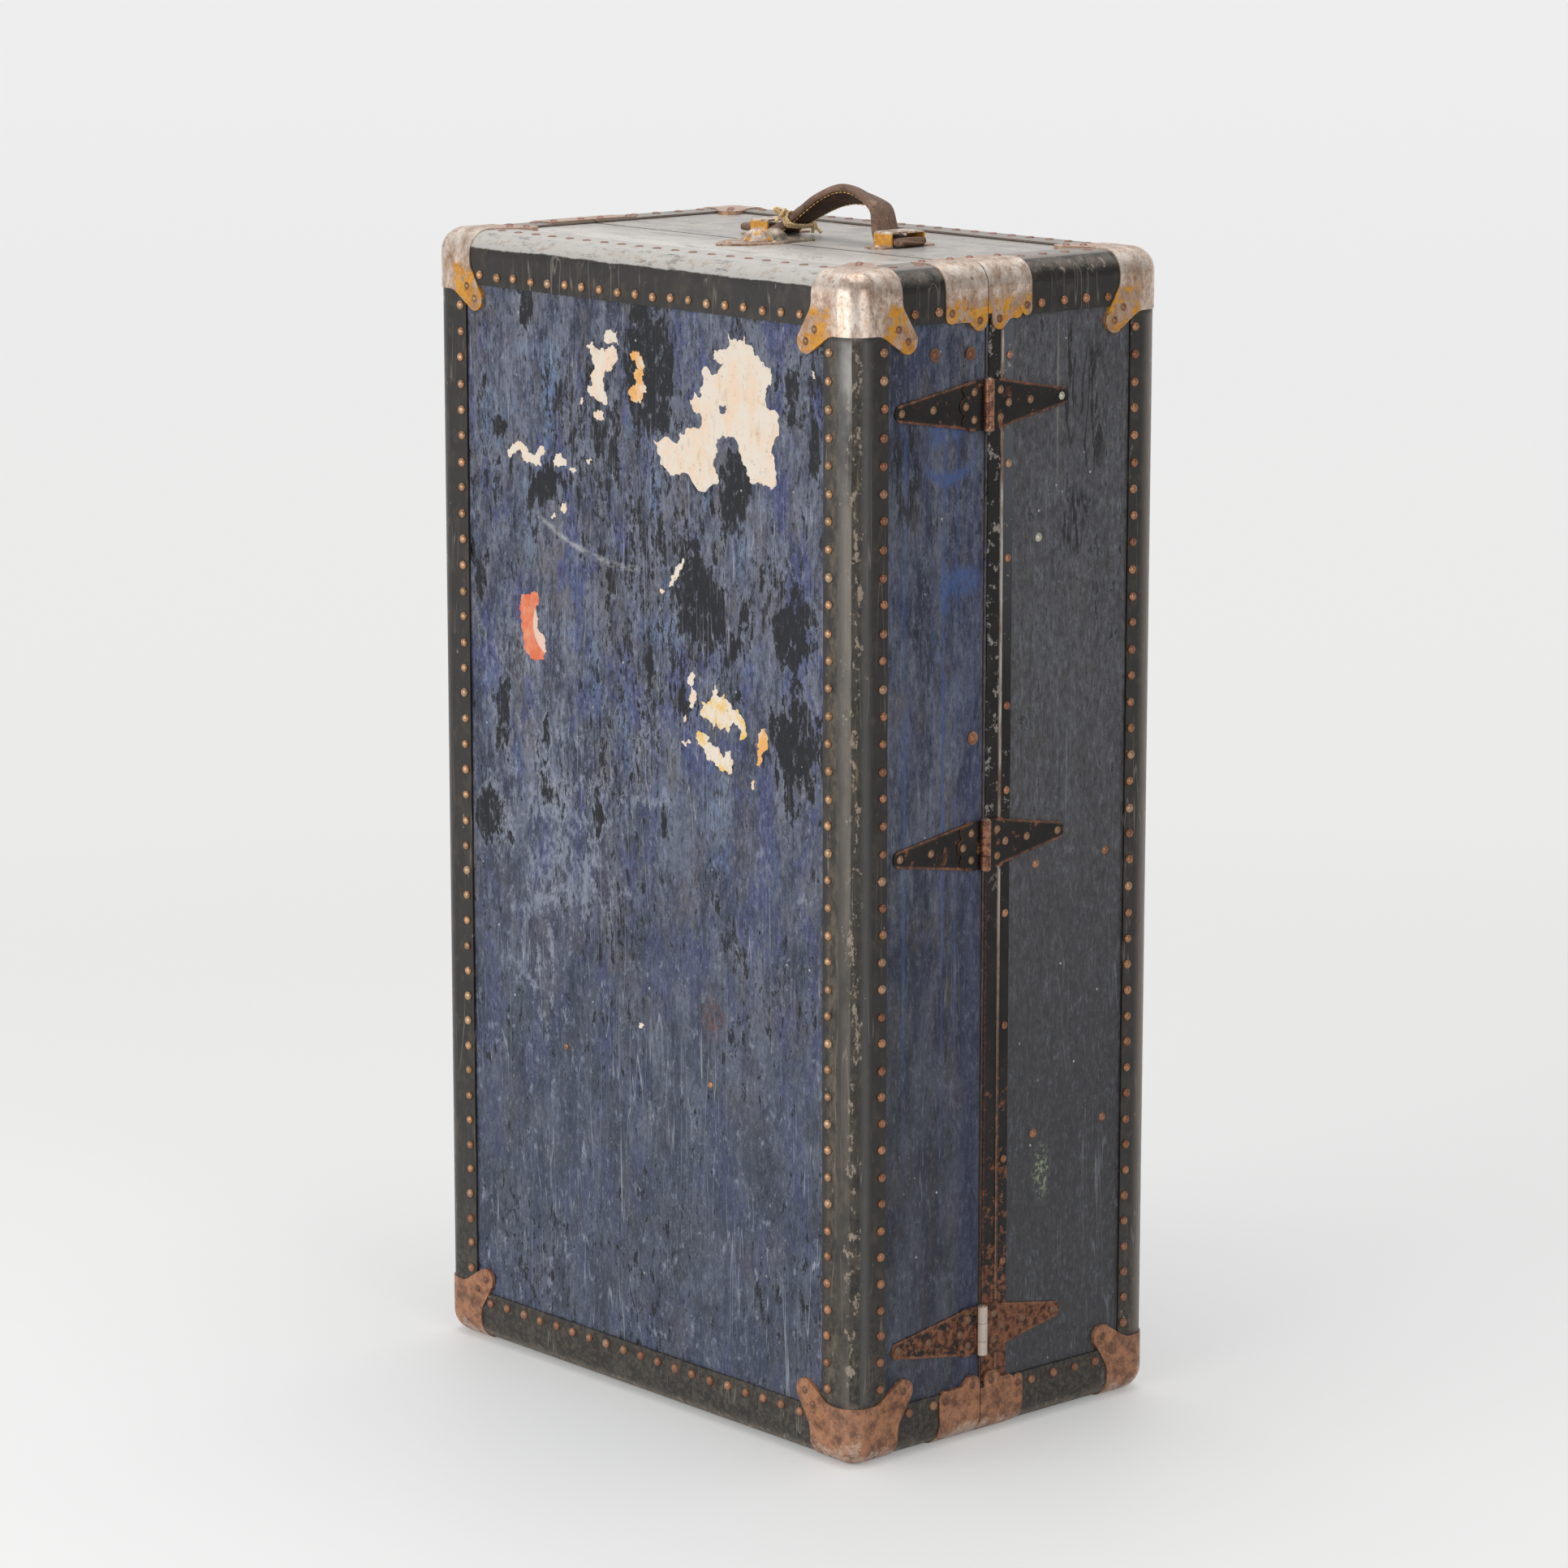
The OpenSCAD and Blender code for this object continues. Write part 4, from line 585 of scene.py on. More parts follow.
def enamel_finish(look):
    """Black enamel on the hinges and the edge strip, rusting from the edges and low down."""
    f = Finish("Rusting black enamel", specular=0.22)
    blotch = f.grain(0.010, 8, 0.7)
    fine = f.grain(0.0022, 5, 0.7)
    low = f.z.fall(0.2, 0.5)
    lowest = f.z.fall(0.1, 0.17)
    edge, barrel = hinge_shape(f)
    strip = f.x.until(COVER_X, 1.05, 1.35)
    near = f.y.until(PART_Y, -8, -4)
    rust = blotch + (0.10 - 0.05 * strip) * low + (0.16 - 0.12 * near) * lowest
    rust = (rust + 0.12 * edge * (1 - strip) - 0.12 * strip * (1 - low)).step(0.58, 0.63)
    rust_tone = f.mix(f.grain(0.006, 6, shift=3).step(0.36, 0.62), (66, 42, 33), (132, 88, 66))
    f.colour = f.mix(f.grain(0.03, 4).step(0.3, 0.7), look.enamel, (38, 33, 31))
    f.lay(rust, rust_tone)
    # Rubbed rims: the thin side faces of the plates lie between the levels of their flat faces
    height = f.x - COVER_X
    level = 1.0
    for flat in PLATE_LEVELS:
        level = abs(height - flat * MM).step(0.08 * MM, 0.16 * MM) * level
    plates = height.step(1.1 * MM, 1.3 * MM) * height.fall(3.9 * MM, 4.1 * MM)
    rims = level * plates + edge * (1 - strip) * 0.5
    f.lay(rims.lower(1.0) * f.grain(0.008, 6, 0.7, shift=33).step(0.3, 0.55) * 0.8, (146, 104, 82))
    # The strip beside the parting: a bead painted pale for wear and a highlight, a painted grey sheen
    # behind it high up, pale chips before it
    on_strip = strip * f.y.past(PART_Y, 0, 1)
    sheen = f.y.past(PART_Y, 20.5, 21.5) * f.z.step(0.62, 0.93) * on_strip
    f.lay(sheen * 0.6, (112, 118, 126))
    before = f.y.until(PART_Y, 17, 18)
    chips = (f.grain(0.012, 8, 0.72, shift=8) + 0.03 * before).step(0.6, 0.615) * f.z.step(0.4, 0.6)
    f.lay(chips * on_strip * 0.85, (158, 150, 142))
    # The bead's pale line: wear and a painted highlight, faint low down
    bead = f.y.band(PART_Y + 19 * MM, 2.6 * MM) * (0.06 + 0.94 * f.z.step(0.3, 0.62))
    bead = bead * f.x.until(COVER_X, 3, 3.6) * f.x.past(COVER_X, 0, 0.5)
    streaky = f.grain(0.01, 6, 0.66, 6, shift=5).step(0.35, 0.6)
    silver = f.mix(streaky, (116, 88, 72), (196, 190, 182))
    f.lay((bead * 1.4).lower(1.0) * 0.85, silver)
    rust_edge = on_strip * f.y.until(PART_Y, 4, 6) * f.z.fall(0.45, 0.6)
    f.lay(rust_edge * fine.step(0.4, 0.6) * 0.7, (112, 58, 42))
    # The proud barrels: coppery wear with pale rubbed spots that are partly painted highlight, the lowest
    # barrel paler
    proud = f.x.past(COVER_X, 4.2, 5) * barrel.lower(1.0)
    wear_and_sheen = f.mix(f.grain(0.006, 7, 0.74, shift=13).step(0.4, 0.6), (96, 62, 48), (166, 118, 92))
    wear_and_sheen = f.mix(f.grain(0.004, 6, 0.7, shift=45).step(0.58, 0.68) * 0.7, wear_and_sheen, (206, 176, 156))
    wear_and_sheen = f.mix(f.z.fall(0.14, 0.2) * 0.7, wear_and_sheen, (226, 216, 206))
    f.lay(proud * 0.95, wear_and_sheen)
    f.bump(blotch + 0.5 * fine, 0.14 * MM)
    return f.finish(0.2 + 0.42 * rust + 0.1 * fine, 0.1 + 0.35 * proud)


def barrel_finish():
    """Hinge pins and hasp pins, rubbed steel with rust."""
    f = Finish("Rubbed pin steel")
    fine = f.grain(0.004, 6, 0.7)
    f.colour = f.mix(fine.step(0.4, 0.6), (132, 108, 90), (184, 160, 142))
    f.bump(fine, 0.06 * MM)
    return f.finish(0.42, 0.6)


def brass_finish(name, bright, dull, rust):
    f = Finish(name)
    blotch = f.grain(0.01, 7, 0.66)
    fine = f.grain(0.0025, 5, 0.7)
    f.colour = f.mix(blotch.step(0.38, 0.6), dull, bright)
    spots = f.grain(0.006, 7, 0.7, shift=4).step(0.56, 0.63)
    f.lay(spots * 0.8, rust)
    f.bump(blotch + fine, 0.08 * MM)
    return f.finish(0.32 + 0.25 * blotch + 0.15 * spots, 0.75 - 0.55 * spots)


def fitting_finish(look):
    """Handle loops and dowel: cream-silver on top, yellow plating on the walls, copper-brown feet."""
    f = Finish("Plated fittings", specular=0.45)
    up = f.z - COVER_Z
    blotch = f.grain(0.007, 7, 0.74)
    fine = f.grain(0.002, 5, 0.75)
    f.colour = f.mix(blotch.step(0.38, 0.62), (150, 120, 98), (222, 208, 192))
    loops = f.y.past(PART_Y, 20, 22)
    patchy = loops + (1 - loops) * f.grain(0.012, 6, 0.7, shift=22).step(0.5, 0.54)
    wall = up.step(2 * MM, 3 * MM) * up.fall(11.5 * MM, 13 * MM) * blotch.step(0.36, 0.44) * patchy
    f.lay(wall * 0.95, look.plating)
    f.lay(wall * f.grain(0.004, 6, 0.7, shift=15).step(0.42, 0.6) * 0.7, (236, 180, 70))
    foot = up.fall(1.6 * MM, 2.4 * MM)
    f.lay(foot * 0.8, f.mix(blotch.step(0.4, 0.6), (136, 98, 76), (188, 158, 136)))
    speck = f.grain(0.003, 7, 0.75, shift=4).step(0.57, 0.64)
    f.lay(speck * 0.7, (96, 62, 42))
    f.bump(blotch + fine, 0.10 * MM)
    return f.finish(0.34 + 0.2 * blotch, 0.35 - 0.3 * wall)


def leather_finish(look):
    """Old brown leather with a cracked grain, rubbed patches and a painted highlight along its
    underside's edges.
    """
    f = Finish("Old strap leather", specular=0.4)
    cracks = f.cells(0.0028, "DISTANCE_TO_EDGE").step(0.0, 0.12)
    cloud = f.grain(0.02, 6, 0.65)
    fine = f.grain(0.002, 5, 0.7)
    f.colour = f.mix(cloud.step(0.35, 0.65), look.leather_dark, look.leather)
    rubbed = f.grain(0.012, 7, 0.7, (1.5, 1, 1), shift=6).step(0.55, 0.7)
    under = f.add("ShaderNodeAttribute", {"attribute_name": "under"}, out="Fac")
    f.lay((1 - under) * 0.45, (146, 118, 100))
    f.lay(rubbed * 0.55, (186, 150, 126))
    streaks = f.grain(0.0035, 6, 0.7, (4, 1, 2), shift=8).step(0.5, 0.62)
    f.lay(streaks * 0.45, (70, 44, 32))
    f.lay(under.step(0.3, 0.9) * 0.92, (44, 28, 20))
    # A painted highlight along the edges of the underside
    f.lay(under.band(0.2, 0.2) * 0.6, (190, 150, 120))
    f.lay(under * f.grain(0.004, 5, 0.7, (3, 1, 1), shift=18).step(0.5, 0.66) * 0.5, (120, 70, 44))
    f.lay((1 - cracks) * 0.4, (44, 28, 20))
    f.bump(cracks, 0.12 * MM)
    f.bump(fine, 0.06 * MM)
    return f.finish(0.5 + 0.2 * cloud - 0.1 * rubbed)


def twine_finish():
    f = Finish("Natural twine", roughness=0.85, specular=0.2)
    fine = f.grain(0.0014, 4, 0.7)
    f.colour = f.mix(fine.step(0.35, 0.65), (186, 150, 100), (244, 222, 178))
    f.bump(fine, 0.15 * MM)
    return f.finish()


def thread_finish():
    f = Finish("Waxed thread", roughness=0.7, specular=0.3)
    f.colour = f.mix(f.grain(0.002, 3, 0.6).step(0.4, 0.6), (150, 112, 62), (222, 184, 118))
    return f.finish()


def paper_finish(name, plain, tint, amount, inner=None):
    """Bare paper with faint stains and creases."""
    f = Finish(name, roughness=0.8, specular=0.25)
    stain = f.grain(0.022, 7, 0.66, 1.4)
    crease = f.grain(0.006, 5, 0.6, 4, shift=3)
    f.colour = f.mix(stain.step(0.44, 0.6) * amount, plain, tint)
    f.lay(crease.step(0.56, 0.7) * 0.35, (196, 172, 146))
    f.lay(f.grain(0.009, 6, 0.7, shift=12).step(0.56, 0.66) * 0.3, (214, 168, 132))
    dirt = f.grain(0.004, 6, 0.72, shift=9).step(0.6, 0.68)
    f.lay(dirt * 0.45, (110, 98, 92))
    if inner:
        f.lay(f.oval((-118, COVER_Y / MM, 676), (36, 5, 36)).step(0.24, 0.3) * 0.7, inner)
    f.bump(crease, 0.08 * MM)
    return f.finish()


WALL = 12.1         # how far the inside lies behind the bindings' faces, in millimetres
THREAD = 1.6        # one repeat of the lining's weave, in millimetres


def wood_finish(name, pale, dark, along=(8, 1, 1), lining=False):
    """Wood with grain along one axis; the shells' inside is lined with a fine woven cloth."""
    f = Finish(name, roughness=0.6, specular=0.3)
    rings = f.grain(0.012, 6, 0.6, along, bend=0.6)
    pores = f.grain(0.0012, 3, 0.6, tuple(6 * a for a in along), shift=2)
    f.colour = f.mix(rings.step(0.3, 0.7), pale, dark)
    f.lay(pores.step(0.55, 0.75) * 0.35, [0.45 * c for c in srgb(*dark)[:3]] + [1.0])
    relief = pores
    if lining:
        # Cloth is what lies deeper in than the walls' thickness
        deep = 1.0
        for axis, reach in ((f.x, HALF_W), (f.y, BACK_Y)):
            deep = abs(axis).until(reach - WALL * MM, 0, 0.1) * deep
        per_thread = math.tau / (THREAD * MM)
        weave = ((f.x + f.y) * per_thread).math("SINE") * (f.z * per_thread).math("SINE")
        cloth = f.mix(weave.step(-0.6, 0.6), (150, 132, 104), (176, 158, 128))
        cloth = f.mix(f.grain(0.08, 5, shift=7).step(0.5, 0.75) * 0.4, cloth, (120, 98, 74))
        f.lay(deep, cloth)
        relief = f.add("ShaderNodeMix", {"data_type": "FLOAT"}, {0: deep, 2: pores, 3: weave})
    f.bump(relief, 0.05 * MM)
    return f.finish(0.5 + 0.2 * rings)


# ---- Mesh helpers --------------------------------------------------------------------------

FINISHES = {}    # every finish by its name, once the first operator has run


def settle(piece, finish, body, smooth=True):
    """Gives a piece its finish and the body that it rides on."""
    piece.data.materials.clear()
    piece.data.materials.append(FINISHES[finish])
    piece.data.polygons.foreach_set("use_smooth", [smooth] * len(piece.data.polygons))
    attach(piece, body)


def new_object(name, data):
    made = bpy.data.objects.new(name, data)
    bpy.context.collection.objects.link(made)
    return made


def add_piece(name, mesh, finish, body, smooth=True):
    """Makes an object of a finished mesh, with its place in its mesh."""
    piece = new_object(name, mesh)
    settle(piece, finish, body, smooth)
    return piece


def mesh_from(name, build):
    """Runs build on a fresh bmesh, closes it and turns it into a mesh."""
    bm = bmesh.new()
    build(bm)
    bmesh.ops.remove_doubles(bm, verts=bm.verts, dist=1e-6)
    bmesh.ops.recalc_face_normals(bm, faces=bm.faces)
    mesh = bpy.data.meshes.new(name)
    bm.to_mesh(mesh)
    bm.free()
    return mesh


def sweep(bm, rings):
    """Skins a run of rings of points and closes both ends."""
    rows = [[bm.verts.new(p) for p in ring] for ring in rings]
    count = len(rows[0])
    for a, b in zip(rows, rows[1:]):
        for i in range(count):
            j = (i + 1) % count
            bm.faces.new((a[i], a[j], b[j], b[i]))
    bm.faces.new(rows[0][::-1])
    bm.faces.new(rows[-1])


def heading(points, i):
    """Direction of a line at its point i."""
    return (points[min(i + 1, len(points) - 1)] - points[max(i - 1, 0)]).normalized()


def tube_rings(points, radius, sides=8):
    """Rings of a round cord that follows points without twisting."""
    rings = []
    side = None
    for i, point in enumerate(points):
        ahead = heading(points, i)
        if side is None:
            side = ahead.orthogonal().normalized()
        side = (side - ahead * side.dot(ahead)).normalized()
        up = ahead.cross(side)
        angles = [math.tau * k / sides for k in range(sides)]
        rings.append([point + radius * (math.cos(a) * side + math.sin(a) * up) for a in angles])
    return rings


# ---- Geometry Nodes ------------------------------------------------------------------------

class Tree:
    """A Geometry Nodes tree that is built in the script."""

    def __init__(self, name, sockets):
        self.group = bpy.data.node_groups.new(name, "GeometryNodeTree")
        face = self.group.interface
        face.new_socket("Guides", in_out="INPUT", socket_type="NodeSocketGeometry")
        for label, (kind, value) in sockets.items():
            socket = face.new_socket(label, in_out="INPUT", socket_type="NodeSocket" + kind)
            if value is not None:
                socket.default_value = value
        face.new_socket("Result", in_out="OUTPUT", socket_type="NodeSocketGeometry")
        self.input = self.group.nodes.new("NodeGroupInput")
        self.output = self.group.nodes.new("NodeGroupOutput")

    def node(self, kind, settings=None, **links):
        """Adds a node: settings first, then its sockets by name, or by number as n0, n1 and so on."""
        made = self.group.nodes.new(kind)
        for name, value in (settings or {}).items():
            setattr(made, name, value)
        for name, value in links.items():
            numbered = name[0] == "n" and name[1:].isdigit()
            socket = made.inputs[int(name[1:]) if numbered else name.replace("_", " ")]
            if isinstance(value, bpy.types.Node):
                value = value.outputs[0]
            if isinstance(value, bpy.types.NodeSocket):
                self.group.links.new(value, socket)
            else:
                socket.default_value = value
        return made

    def vector(self, operation, first, second=None, **links):
        if second is not None:
            links["n1"] = second
        return self.node("ShaderNodeVectorMath", {"operation": operation}, n0=first, **links)

    def end(self, geometry, material):
        """Makes the instances real, gives them their material and joins them to the output."""
        real = self.node("GeometryNodeRealizeInstances", Geometry=geometry)
        dressed = self.node("GeometryNodeSetMaterial", Geometry=real, Material=material)
        self.group.links.new(dressed.outputs[0], self.output.inputs[0])

    def apply(self, guides, **values):
        """Runs the tree on a guide object and keeps the result as the object's plain mesh."""
        modifier = guides.modifiers.new("Make", "NODES")
        modifier.node_group = self.group
        for item in self.group.interface.items_tree:
            key = item.name.replace(" ", "_").lower()
            if item.in_out == "INPUT" and key in values:
                modifier[item.identifier] = values[key]
        graph = bpy.context.evaluated_depsgraph_get()
        graph.update()
        made = bpy.data.meshes.new_from_object(guides.evaluated_get(graph), preserve_all_data_layers=True,
                                               depsgraph=graph)
        guides.modifiers.remove(modifier)
        guides.data = made


def spots_along(tree, put):
    """Points at an even pitch along the guide lines."""
    line = tree.node("GeometryNodeMeshToCurve", Mesh=put["Guides"])
    even = tree.node("GeometryNodeResampleCurve", {"mode": "LENGTH"}, Curve=line, Length=put["Pitch"])
    return tree.node("GeometryNodeCurveToPoints", {"mode": "EVALUATED"}, Curve=even)


def rivet_tree(spaced=True):
    """Domed heads that face outwards: at an even pitch along the guide lines, or at their points."""
    tree = Tree("Rivet rows" if spaced else "Single rivets", {
        "Pitch": ("Float", 0.023), "Diameter": ("Float", 0.008), "Height": ("Float", 0.002),
        "Jitter": ("Float", 0.0006), "Seed": ("Int", 1), "Material": ("Material", None)})
    put = tree.input.outputs
    if spaced:
        spots = spots_along(tree, put)
    else:
        spots = tree.node("GeometryNodeMeshToPoints", Mesh=put["Guides"])
    facing = tree.node("GeometryNodeInputNamedAttribute", {"data_type": "FLOAT_VECTOR"}, Name="facing")
    # Each head strays a little from its place, but not off its wall, and leans a little
    stray = tree.node("FunctionNodeRandomValue", {"data_type": "FLOAT_VECTOR"},
                      n0=(-1, -1, -1), n1=(1, 1, 1), Seed=put["Seed"])
    spread = tree.vector("SCALE", stray, Scale=put["Jitter"])
    lift = tree.vector("PROJECT", spread, facing)
    flat = tree.vector("SUBTRACT", spread, lift)
    moved = tree.node("GeometryNodeSetPosition", Geometry=spots, Offset=flat)
    lean = tree.vector("ADD", facing, tree.vector("SCALE", stray, Scale=0.05))
    turn = tree.node("FunctionNodeAlignRotationToVector", {"axis": "Z"}, Vector=lean)
    # A head is a ball whose lower half is pressed flat
    ball = tree.node("GeometryNodeMeshUVSphere", Segments=16, Rings=10, Radius=1.0)
    split = tree.node("ShaderNodeSeparateXYZ", n0=tree.node("GeometryNodeInputPosition"))
    floor = tree.node("ShaderNodeMath", {"operation": "MAXIMUM"}, n0=split.outputs[2], n1=-0.15)
    joined = tree.node("ShaderNodeCombineXYZ", n0=split, n1=split.outputs[1], n2=floor)
    dome = tree.node("GeometryNodeSetPosition", Geometry=ball, Position=joined)
    half = tree.node("ShaderNodeMath", {"operation": "MULTIPLY"}, n0=put["Diameter"], n1=0.5)
    size = tree.node("ShaderNodeCombineXYZ", n0=half, n1=half, n2=put["Height"])
    vary, tone = [tree.node("FunctionNodeRandomValue", {"data_type": "FLOAT"}, n2=least, n3=most,
                            Seed=put["Seed"]).outputs[1] for least, most in ((0.93, 1.05), (0.0, 1.0))]
    heads = tree.node("GeometryNodeInstanceOnPoints", Points=moved, Instance=dome, Rotation=turn,
                      Scale=tree.vector("SCALE", size, Scale=vary))
    marked = tree.node("GeometryNodeStoreNamedAttribute", {"data_type": "FLOAT", "domain": "INSTANCE"},
                       Geometry=heads, Name="tone", Value=tone)
    tree.end(marked, put["Material"])
    return tree


def stitch_tree():
    """Short stitches laid end to end along guide lines."""
    tree = Tree("Stitch rows", {
        "Pitch": ("Float", 0.005), "Thickness": ("Float", 0.0008), "Material": ("Material", None)})
    put = tree.input.outputs
    spots = spots_along(tree, put)
    ball = tree.node("GeometryNodeMeshUVSphere", Segments=8, Rings=6, Radius=0.5)
    length = tree.node("ShaderNodeMath", {"operation": "MULTIPLY"}, n0=put["Pitch"], n1=0.78)
    size = tree.node("ShaderNodeCombineXYZ", n0=put["Thickness"], n1=put["Thickness"], n2=length)
    laid = tree.node("GeometryNodeInstanceOnPoints", Points=spots, Instance=ball,
                     Rotation=spots.outputs["Rotation"], Scale=size)
    tree.end(laid, put["Material"])
    return tree


def guide_lines(name, lines):
    """An object whose edges are the guide lines; each line has its own facing direction."""
    mesh = bpy.data.meshes.new(name)
    points, edges, facing = [], [], []
    for path, outward in lines:
        start = len(points)
        points += [tuple(p) for p in path]
        edges += [(start + i, start + i + 1) for i in range(len(path) - 1)]
        facing += list(outward) * len(path)
    mesh.from_pydata(points, edges, [])
    mesh.attributes.new("facing", "FLOAT_VECTOR", "POINT").data.foreach_set("vector", facing)
    return new_object(name, mesh)


def set_rows(tree, name, lines, finish, body, slot, **values):
    """Runs a tree along guide lines and makes one piece of the result."""
    guides = guide_lines(name, lines)
    tree.apply(guides, material=FINISHES[finish], **values)
    settle(guides, finish, body)


# ---- Rivet rows ----------------------------------------------------------------------------

def binding_rows(front, sizes):
    """Guide lines of the rivets on one half, as (path, outward) pairs: on the walls, on top and below."""
    face_y = FRONT_Y if front else BACK_Y
    out_y = -1 if front else 1
    level, clear = sizes.level_inset, sizes.cap_clear
    part = PART_Y - sizes.clamp_front if front else PART_Y + sizes.clamp_back
    end = face_y - out_y * clear
    low, high = FOOT_Z + clear, HEAD_Z - clear
    walls, crown, foot = [], [], []
    for side in (-1, 1):
        x = side * HALF_W
        wide_x = x - side * (sizes.latch_inset if side < 0 else sizes.wide_inset)
        walls.append((((wide_x, face_y, low), (wide_x, face_y, high)), (0, out_y, 0)))
        side_y = face_y - out_y * sizes.side_inset
        walls.append((((x, side_y, low), (x, side_y, high)), (side, 0, 0)))
        for z, up in ((FOOT_Z, -1), (HEAD_Z, 1)):
            row_z = z - up * level
            walls.append((((x, end, row_z), (x, part, row_z)), (side, 0, 0)))
            target, aside = (crown, sizes.top_inset) if up > 0 else (foot, level)
            in_x = x - side * aside
            target.append((((in_x, end, z), (in_x, part, z)), (0, 0, up)))
    left, right = -HALF_W + clear, HALF_W - clear
    for z, up in ((FOOT_Z, -1), (HEAD_Z, 1)):
        walls.append((((left, face_y, z - up * level), (right, face_y, z - up * level)), (0, out_y, 0)))
        target, aside = (crown, sizes.top_inset) if up > 0 else (foot, level)
        in_y = face_y - out_y * aside
        target.append((((left, in_y, z), (right, in_y, z)), (0, 0, up)))
    return walls, crown, foot


def length_property(label, description, value, **limits):
    return bpy.props.FloatProperty(name=label, description=description, default=value, unit="LENGTH",
                                   **limits)


class TrunkSizes(bpy.types.PropertyGroup):
    """Sizes of what repeats or is soft"""
    rivet_pitch: length_property("Rivet pitch", "Distance between binding rivets",
                                 0.0228, min=0.015, max=0.04)
    rivet_diameter: length_property("Rivet diameter", "Width of a binding rivet's head",
                                    0.0082, min=0.005, max=0.012)
    rivet_height: length_property("Rivet height", "Height of a binding rivet's head",
                                  0.0029, min=0.001, max=0.004)
    wide_inset: length_property("Wide-face inset", "Row's distance from the hinge-side edge", 0.0305)
    latch_inset: length_property("Latch-edge inset", "Row's distance from the latch-side edge", 0.0375)
    side_inset: length_property("Side inset", "Upright row's distance from the edge on a side", 0.0325)
    level_inset: length_property("Level inset", "Level row's distance from its edge", 0.0375)
    top_inset: length_property("Top inset", "Distance of the rows on top from their edge", 0.025)
    crown_height: length_property("Top rivet height", "Height of the flat heads on top",
                                  0.0011, min=0.0005, max=0.003)
    foot_height: length_property("Foot rivet height", "Height of the flat heads below",
                                 0.0009, min=0.0005, max=0.001)
    cap_clear: length_property("Cap clearance", "Distance from a corner to the first rivet", 0.066)
    clamp_front: length_property("Front clamp", "Distance kept from the parting in front", 0.055)
    clamp_back: length_property("Back clamp", "Distance kept from the parting behind", 0.062)


def colour_property(label, description, *screen):
    return bpy.props.FloatVectorProperty(name=label, description=description, subtype="COLOR", size=4,
                                         min=0, max=1, default=srgb(*screen))


class TrunkColours(bpy.types.PropertyGroup):
    """Main colours of the finishes"""
    fibre: colour_property("Fibre", "Blue fibre covering", 109, 114, 130)
    fibre_dark: colour_property("Fibre, dark", "Darker streaks of the fibre", 50, 56, 77)
    fibre_violet: colour_property("Fibre, violet", "Violet-blue streaks of the fibre", 69, 76, 122)
    lacquer: colour_property("Lacquer", "Flakes of old black lacquer", 17, 19, 25)
    binding: colour_property("Binding", "Fibre bindings", 31, 28, 26)
    # The bindings' rubbed tone, which also paints their highlight along the round edges
    binding_worn: colour_property("Binding, worn", "Bindings where they are rubbed", 134, 124, 113)
    steel: colour_property("Steel", "Caps where rubbed", 226, 207, 192)
    steel_brown: colour_property("Steel, brown", "Caps where browned", 164, 133, 110)
    plating: colour_property("Plating", "Yellow plating on the lobes", 206, 140, 30)
    copper: colour_property("Copper", "Rivet heads", 196, 144, 108)
    copper_dark: colour_property("Copper, dark", "Rivet heads, tarnished", 136, 92, 66)
    enamel: colour_property("Enamel", "Hinges and edge strip", 22, 20, 20)
    leather: colour_property("Leather", "Handle", 122, 92, 74)
    leather_dark: colour_property("Leather, dark", "Handle's dark parts", 78, 54, 42)


def sizes():
    return bpy.context.scene.trunk_sizes


def colours():
    return bpy.context.scene.trunk_colours


class TrunkOperator(bpy.types.Operator):
    """Base of the trunk's operators"""
    bl_options = {"REGISTER", "UNDO"}


class TRUNK_OT_finishes(TrunkOperator):
    """Make the finishes and give them to the construction's own pieces"""
    bl_idname = "trunk.finishes"
    bl_label = "Finishes"

    def execute(self, context):
        look = colours()
        cream = (236, 224, 208)
        FINISHES.update({
            "plywood": wood_finish("Lined plywood", (168, 132, 92), (132, 98, 64), lining=True),
            "fibre": fibre_finish(look),
            "binding": binding_finish(look),
            "cap_steel": cap_finish(look),
            "rivet_brass": rivet_finish(look),
            "hinge_enamel": enamel_finish(look),
            "pin_steel": barrel_finish(),
            "valance_wood": wood_finish("Valance wood", (110, 78, 50), (78, 52, 32), (1, 1, 8)),
            "plated_brass": fitting_finish(look),
            "dowel_steel": brass_finish("Grey plating", (176, 164, 148), (128, 112, 96), (96, 66, 46)),
            "strap_leather": leather_finish(look),
            "twine": twine_finish(),
            "thread": thread_finish(),
            "shelf_wood": wood_finish("Shelf wood", (150, 116, 78), (116, 84, 54)),
            "drawer_wood": wood_finish("Drawer wood", (158, 120, 80), (118, 84, 52)),
            "knob_brass": brass_finish("Knob brass", (214, 174, 100), (160, 122, 66), (110, 78, 44)),
            "rail_steel": brass_finish("Nickel steel", (190, 184, 174), (140, 134, 126), (120, 92, 70)),
            "hanger_wood": wood_finish("Hanger wood", (196, 150, 96), (158, 114, 66)),
            "cream_paper": paper_finish("Cream paper", cream, (246, 206, 170), 0.5),
            "ochre_paper": paper_finish("Ochre paper", (238, 178, 104), cream, 0.8),
            "yellow_paper": paper_finish("Yellow paper", cream, (240, 196, 84), 1.0),
            "coral_paper": paper_finish("Coral paper", (226, 118, 84), (238, 170, 136), 0.6, cream),
        })
        slots = {row["node"]: row["material_slot"] for row in frame["record"]["subparts"]}
        for node, piece in frame["nodes"].items():
            piece.data.materials.clear()
            piece.data.materials.append(FINISHES[slots[node]])
        return {"FINISHED"}


# Rivets on the strip: their distance behind the parting and their heights, in millimetres
STRIP_ROW = 26.8
STRIP_RIVETS = (937, 846, 765, 639, 566, 460, 361, 243, 152)
# Two nails in the front face: x and height, in millimetres
FACE_RIVETS = ((-103, 300), (93, 303))


